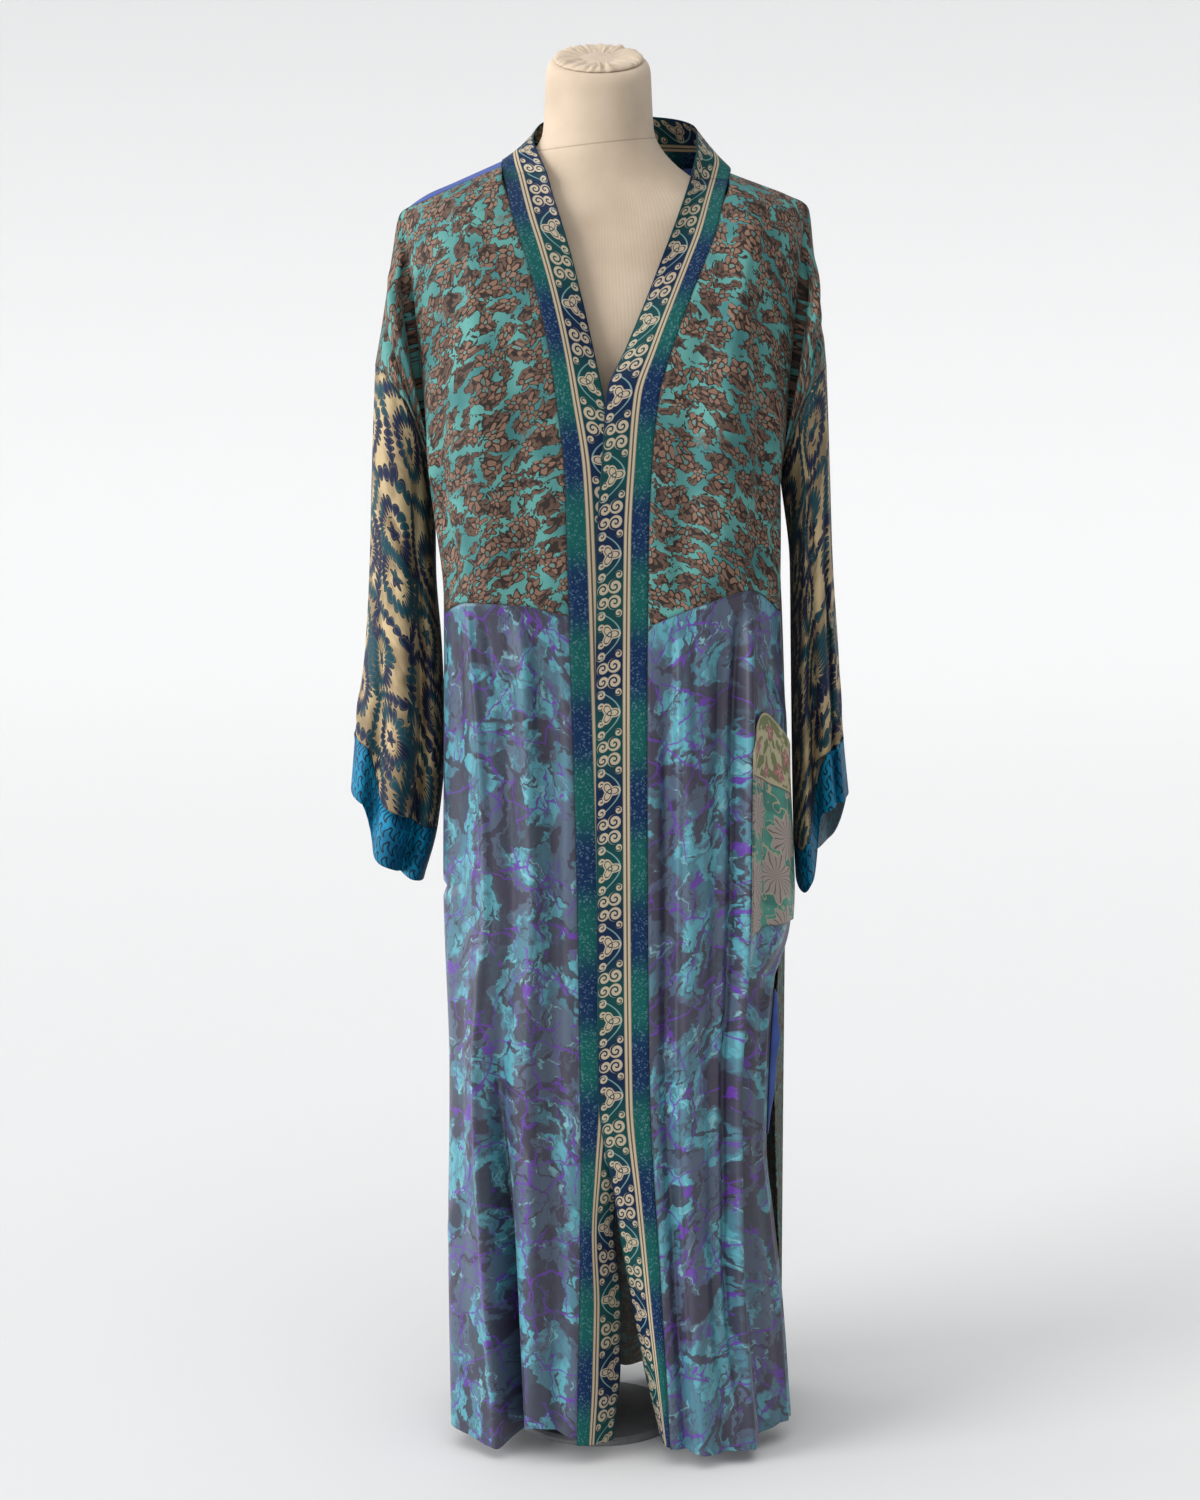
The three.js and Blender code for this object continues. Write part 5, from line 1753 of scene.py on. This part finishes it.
@dataclass
class Fronts:
    """Upper and lower front panels of both sides."""

    columns: int = 84
    upper_rows: int = 74
    lower_rows: int = 150
    rim: float = 0.012
    lower_folds: dict[Side, tuple[Fold, ...]] = field(default_factory=lambda: LOWER_FOLDS)
    upper_folds: dict[Side, tuple[Fold, ...]] = field(default_factory=lambda: UPPER_FOLDS)
    creases: dict[Side, tuple[Crease, ...]] = field(default_factory=lambda: LOWER_CREASES)
    upper_creases: dict[Side, tuple[Crease, ...]] = field(default_factory=lambda: UPPER_CREASES)

    def build(self) -> None:
        """Lays the four panels and the turned edge of the slit."""
        for side in Side:
            outward = 1 if side is Side.RIGHT else -1
            upper = Cloth(
                f"upper_front_{side.word}", front_upper(side),
                spread(0, UPPER_LAST, self.columns, self.rim), spread(0, 1, self.upper_rows, 0.002),
                outward=outward, folds=self.upper_folds[side], creases=self.upper_creases[side],
                even_beyond=3.0, smooth_at="vt vb", cut_from=(0, 0) if side is Side.RIGHT else (830, 310),
            ).lay()
            dress(upper, PAISLEY, PAISLEY_BACK, f"front_upper_{side.word}")
            lower = Cloth(
                f"lower_front_{side.word}", front_lower(side), spread(0, 4, self.columns, self.rim),
                spread(0, 1, self.lower_rows, 0.001), outward=outward, folds=self.lower_folds[side],
                creases=self.creases[side], sewn="ul vt" if side is Side.LEFT else "ul ur vt",
                smooth_at="vt", cut_from=(0, 0) if side is Side.RIGHT else (1340, 450),
            ).lay()
            dress(lower, MARBLED, PERIWINKLE, f"front_lower_{side.word}")
        strip = Cloth(
            "turned_slit_edge", turned_slit_edge, spread(0, 1, 9), spread(0, 1, 60), outward=-1, sewn="ul",
        ).lay()
        dress(strip, PERIWINKLE, MARBLED, "front_lower_left")


@dataclass
class Back:
    """The upper back over both shoulders and the lower back hanging from it."""

    columns: int = 150
    upper_rows: int = 84
    lower_rows: int = 140
    upper_folds: tuple[Fold, ...] = BACK_UPPER_FOLDS
    lower_folds: tuple[Fold, ...] = BACK_LOWER_FOLDS

    def build(self) -> None:
        """Lays both backs."""
        upper = Cloth(
            "upper_back", back_upper, spread(0, BACK_UPPER_LAST, self.columns, 0.03),
            spread(0, 1, self.upper_rows, 0.002), folds=self.upper_folds, smooth_at="vb",
        ).lay()
        dress(upper, PERIWINKLE, PERIWINKLE, "back_upper")
        lower = Cloth(
            "lower_back", back_lower, spread(0, BACK_LAST, self.columns, 0.02),
            spread(0, 1, self.lower_rows, 0.001), folds=self.lower_folds, sewn="vt", smooth_at="vt",
            cut_from=(2200, 900),
        ).lay()
        dress(lower, FLORAL, FLORAL_BACK, "back_lower")


@dataclass
class Sleeves:
    """Both hanging sleeves with their cuffs."""

    girth: dict[Side, float] = field(default_factory=lambda: {Side.RIGHT: 0.45, Side.LEFT: 0.42})
    cut_from: dict[Side, tuple[float, float]] = field(
        default_factory=lambda: {Side.RIGHT: (0, 0), Side.LEFT: (110, 370)}
    )
    around: int = 112
    rows: int = 96
    cuff_rows: int = 30
    grooves: dict[Side, tuple[Groove, ...]] = field(default_factory=lambda: SLEEVE_GROOVES)
    creases: dict[Side, tuple[Crease, ...]] = field(default_factory=lambda: SLEEVE_CREASES)

    def build(self) -> None:
        """Lays sleeves and cuffs as tubes."""
        for side in Side:
            surface = sleeve(side, self.grooves[side])
            turns = np.linspace(-180, 180, self.around + 1)
            common = dict(
                closed=True, outward=side.value, step_u=0.4, creases=self.creases[side], sewn="vt vb",
                cut_from=self.cut_from[side],
            )
            tube = Cloth(
                f"hanging_sleeve_{side.word}", surface, turns, spread(0, 1, self.rows, 0.003), **common,
            ).lay()
            dress(tube, SCROLLS, SCROLLS_BACK, f"sleeve_{side.word}")
            common["sewn"] = "vt"
            cuff = Cloth(
                f"wide_cuff_{side.word}", surface, turns, spread(1, 1.2, self.cuff_rows, 0.003), **common,
            ).lay()
            dress(cuff, SQUIGGLES, SQUIGGLES_BACK, f"cuff_{side.word}")


@dataclass
class Trim:
    """The ribbon trim down both fronts and round the back of the neck."""

    across: int = 12
    rows: int = 180
    top_z: dict[Side, float] = field(default_factory=lambda: {Side.RIGHT: 1409.8, Side.LEFT: 1403.8})
    bottom_z: float = 24.0
    ribbon_width: float = 58.0

    def build(self) -> None:
        """Lays the three lengths of trim."""
        for side in Side:
            length = Cloth(
                f"front_trim_{side.word}", front_band(side), spread(0, 1, self.across, 0.02),
                spread(self.bottom_z, self.top_z[side], self.rows, 1.0), outward=-side.value,
                ribbon=self.ribbon_width, sewn="ul", cut_from=(0, 40) if side is Side.RIGHT else (0, 112),
            ).lay()
            dress(length, TRIM, TRIM_BACK, f"band_{side.word}")
        round_neck = Cloth(
            "neck_trim", neck_band, spread(0, 1, self.across, 0.02), np.linspace(0, 1, 110),
            ribbon=self.ribbon_width, sewn="ul",
        ).lay()
        dress(round_neck, TRIM, TRIM, "band_neck")


@dataclass
class Pocket:
    """The patch pocket of two cloths on the left front, lying over its folds."""

    lift: float = 3.2
    bottom_z: float = 602.0
    first: float = 1.9955
    last: float = 3.2615
    columns: int = 40
    mouth: Curve = field(default_factory=lambda: Curve((1.9, 2.3, 3, 3.7), (788, 842, 797, 776)))
    joint: Curve = field(default_factory=lambda: Curve((1.9, 2.3, 3, 3.7), (782, 770, 742, 720)))
    folds: tuple[Fold, ...] = LOWER_FOLDS[Side.LEFT]

    def build(self) -> None:
        """Lays the flap and the bag."""
        us = spread(self.first, self.last, self.columns, 0.01)

        def between(top: Curve, bottom: Callable[[Array], Array]) -> Surface:
            """A surface on the left front between two lines over its features."""
            return lambda u, v: through(front_features(Side.LEFT, lerp(top(u), bottom(u), v)), u)

        common = dict(outward=-1, lift=self.lift, folds=self.folds)
        mouth = between(self.mouth, self.joint)
        flap = Cloth("piped_flap", mouth, us, spread(0, 1, 24, 0.02), **common).lay()
        dress(flap, FLAP, FLAP, "pocket_flap")
        below = between(self.joint, lambda u: 0 * u + self.bottom_z)
        bag = Cloth("patch_bag", below, us, spread(0, 1, 44, 0.01), **common).lay()
        dress(bag, LOTUS, LOTUS, "pocket_bag")


@dataclass
class DressForm:
    """The jersey-covered form: a tailored torso, its neck and the gathered disc that closes it."""

    sides: int = 120
    rows: int = 110
    swell_top_z: float = 1476.0
    rim_rise: float = 0.04
    gathers: int = 31

    def _torso_places(self, angle: Array, v: Array) -> Array:
        """Points of the torso at each angle and share of its height, in mm.

        Args:
            angle: angles round.
            v: share of the torso's height.

        Returns:
            The points.
        """
        z = lerp(FORM_BOTTOM_Z, self.swell_top_z, v)
        power = 2 / FORM["power"](z)
        cosine, sine = np.cos(angle), np.sin(angle)
        depth = np.where(sine < 0, FORM["front"](z), FORM["back"](z))
        x = FORM["half_width"](z) * np.sign(cosine) * np.abs(cosine) ** power
        return points(x, depth * np.sign(sine) * np.abs(sine) ** power, z)

    def _ring(self, angle: Array, radius: float, rise: float) -> Array:
        """A ring of the slanting neck top, in mm."""
        x, y = radius * np.cos(angle), radius * np.sin(angle)
        return points(x, y, NECK_TOP_Z + rise + NECK_TOP_SLOPE * y)

    def _revolve(self, name: str, rings: Sequence[Array], caps: tuple[float, float]) -> bpy.types.Object:
        """Joins rings of points to a closed shape.

        Args:
            name: the piece's name.
            rings: rings of equal count from the bottom up, in mm.
            caps: heights of the middles of the bottom and the top, in mm.

        Returns:
            The new object.
        """
        bm = bmesh.new()
        count = len(rings[0])
        bmesh.ops.create_grid(bm, x_segments=count, y_segments=len(rings) - 1, size=0.5)
        uv = bm.loops.layers.uv.new("cloth")
        for face in bm.faces:
            for loop in face.loops:
                co = loop.vert.co
                row = rings[round((co.y + 0.5) * (len(rings) - 1))]
                reach = float(np.linalg.norm(row[:, :2], axis=1).mean())
                loop[uv].uv = ((co.x + 0.5) * 2 * math.pi * reach * MM, float(row[:, 2].mean()) * MM)
        for vert in bm.verts:
            column = round((vert.co.x + 0.5) * count) % count
            vert.co = rings[round((vert.co.y + 0.5) * (len(rings) - 1))][column] * MM
        bmesh.ops.remove_doubles(bm, verts=bm.verts, dist=1e-6)
        edges = [e for e in bm.edges if e.is_boundary]
        for rim_z, cap_z in ((min, caps[0]), (max, caps[1])):
            level = rim_z(e.verts[0].co.z for e in edges)
            rim = [e for e in edges if abs(e.verts[0].co.z - level) < self.rim_rise]
            middle = bm.verts.new((0, 0, cap_z * MM))
            for e in rim:
                bm.faces.new((*e.verts, middle))
        bmesh.ops.recalc_face_normals(bm, faces=bm.faces)
        return finished(name, bm)

    def build(self) -> None:
        """Builds the torso and its cap."""
        angle = np.arange(self.sides) / self.sides * 2 * math.pi
        rings = [self._torso_places(angle, np.full(self.sides, v)) for v in np.linspace(0, 1, self.rows)]
        rims = ((0.5, -16), (0.9, -12), (1.6, -8.5), (2.8, -5.5), (4.6, -2.8), (7, -1.0), (10, 0))
        rings += [self._ring(angle, NECK_HALF_WIDTH - inset, rise) for inset, rise in rims]
        torso = self._revolve("jersey_torso", rings, (FORM_BOTTOM_Z, NECK_TOP_Z))
        dress(torso, JERSEY, JERSEY, "form_torso")
        cap_rings = []
        angle = np.arange(self.sides * 3) / (self.sides * 3) * 2 * math.pi
        for radius, rise, ruffle in (
            (45.0, 0.3, 0), (47.4, 0.7, 0.2), (48.0, 1.9, 0.5), (47.2, 3.4, 0.8), (45.0, 4.7, 1.2),
            (41.5, 5.4, 1.5), (36, 5.2, 1.6), (29, 4.2, 1.3), (21, 3.0, 1.0), (12, 2.2, 0.6), (6, 2.0, 0.3),
        ):
            bent = angle + 0.12 * np.sin(3 * angle + radius / 7)
            pleat = np.cos(self.gathers * bent) * (0.6 + 0.4 * np.cos(5 * angle + 1))
            pleat += 0.5 * np.cos(17 * bent + 1.3)
            ring = self._ring(angle, radius, rise)
            ring[:, 2] += ruffle * pleat
            ring[:, :2] *= 1 + 0.012 * ruffle * pleat[:, None]
            cap_rings.append(ring)
        cap = self._revolve("gathered_cap", cap_rings, (NECK_TOP_Z + 0.3, NECK_TOP_Z + 5))
        dress(cap, JERSEY_GATHERED, JERSEY_GATHERED, "neck_cap")


@dataclass
class Stand:
    """The wooden pole and the steel disc foot, shaped in CAD and finished here."""

    def build(self) -> None:
        """Gives both solids their materials."""
        for node, look in (("stand_pole", WAXED_BEECH), ("stand_base", POWDER_COAT)):
            for slot in frame["nodes"][node].material_slots:
                slot.material = material_of(look)


@dataclass
class Studio:
    """The pale sweep, the soft lights and the camera."""

    reach: float = 12.0
    height: float = 7.0
    back: float = 7.0
    bend: float = 2.4
    eye: tuple[float, float, float] = (0.00165, -3.3, 1.33)
    looks_down: float = 9.46
    lens: float = 72.1
    room_light: float = 0.32

    def build(self) -> None:
        """Makes the sweep, the lights and the camera."""
        bm = bmesh.new()
        bmesh.ops.create_grid(bm, x_segments=1, y_segments=60, size=0.5)
        bend, back = self.bend, self.back
        for vert in bm.verts:
            t = vert.co.y + 0.5
            run = -self.reach + t * (self.reach + back + self.height)
            flat_end = back - bend
            if run <= flat_end:
                y, z = run, 0.0
            elif run <= flat_end + bend * math.pi / 2:
                turn = (run - flat_end) / bend
                y, z = flat_end + bend * math.sin(turn), bend * (1 - math.cos(turn))
            else:
                y, z = back, bend + run - flat_end - bend * math.pi / 2
            vert.co = (vert.co.x * 2 * self.reach, y, z)
        mesh = bpy.data.meshes.new("pale_sweep")
        for face in bm.faces:
            face.smooth = True
        bm.to_mesh(mesh)
        bm.free()
        sweep = bpy.data.objects.new("pale_sweep", mesh)
        bpy.context.scene.collection.objects.link(sweep)
        sweep.data.materials.append(material_of(PALE_PAPER))
        world = bpy.data.worlds.new("soft_room")
        world.use_nodes = True
        world.node_tree.nodes["Background"].inputs[0].default_value = (*linear("#f4f6fa"), 1)
        world.node_tree.nodes["Background"].inputs[1].default_value = self.room_light
        bpy.context.scene.world = world
        for name, towards, strength, spread_degrees in (
            ("window_left", (0.83, 0.46, -0.32), 2.7, 34),
            ("strip_left", (0.95, -0.20, -0.12), 1.5, 40),
            ("ceiling_front", (0.05, 0.25, -0.97), 1.7, 70),
        ):
            light = bpy.data.lights.new(name, "SUN")
            light.energy = strength
            light.angle = math.radians(spread_degrees)
            lamp = bpy.data.objects.new(name, light)
            bpy.context.scene.collection.objects.link(lamp)
            lamp.location = (-2, -2, 3)
            lamp.rotation_euler = Vector(towards).to_track_quat("-Z", "Y").to_euler()
        camera = bpy.data.cameras.new("camera")
        camera.sensor_fit = "VERTICAL"
        camera.sensor_height = 36
        camera.lens = self.lens
        eye = bpy.data.objects.new("camera", camera)
        bpy.context.scene.collection.objects.link(eye)
        eye.location = self.eye
        eye.rotation_euler = (math.radians(90 - self.looks_down), 0, 0)
        bpy.context.scene.camera = eye
        bpy.context.scene.view_settings.view_transform = "Standard"


def main() -> None:
    """Builds the garment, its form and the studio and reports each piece."""
    logging.basicConfig(level=logging.INFO, format="%(name)s: %(message)s")
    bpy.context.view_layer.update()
    for assembly in (Fronts(), Back(), Sleeves(), Trim(), Pocket(), DressForm(), Stand(), Studio()):
        there = set(bpy.data.objects.keys())
        assembly.build()
        made = [name for name in bpy.data.objects.keys() if name not in there]
        LOG.info("%s: %s", type(assembly).__name__, ", ".join(made) or "its solids finished")


if __name__ == "__main__":
    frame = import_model()
    main()
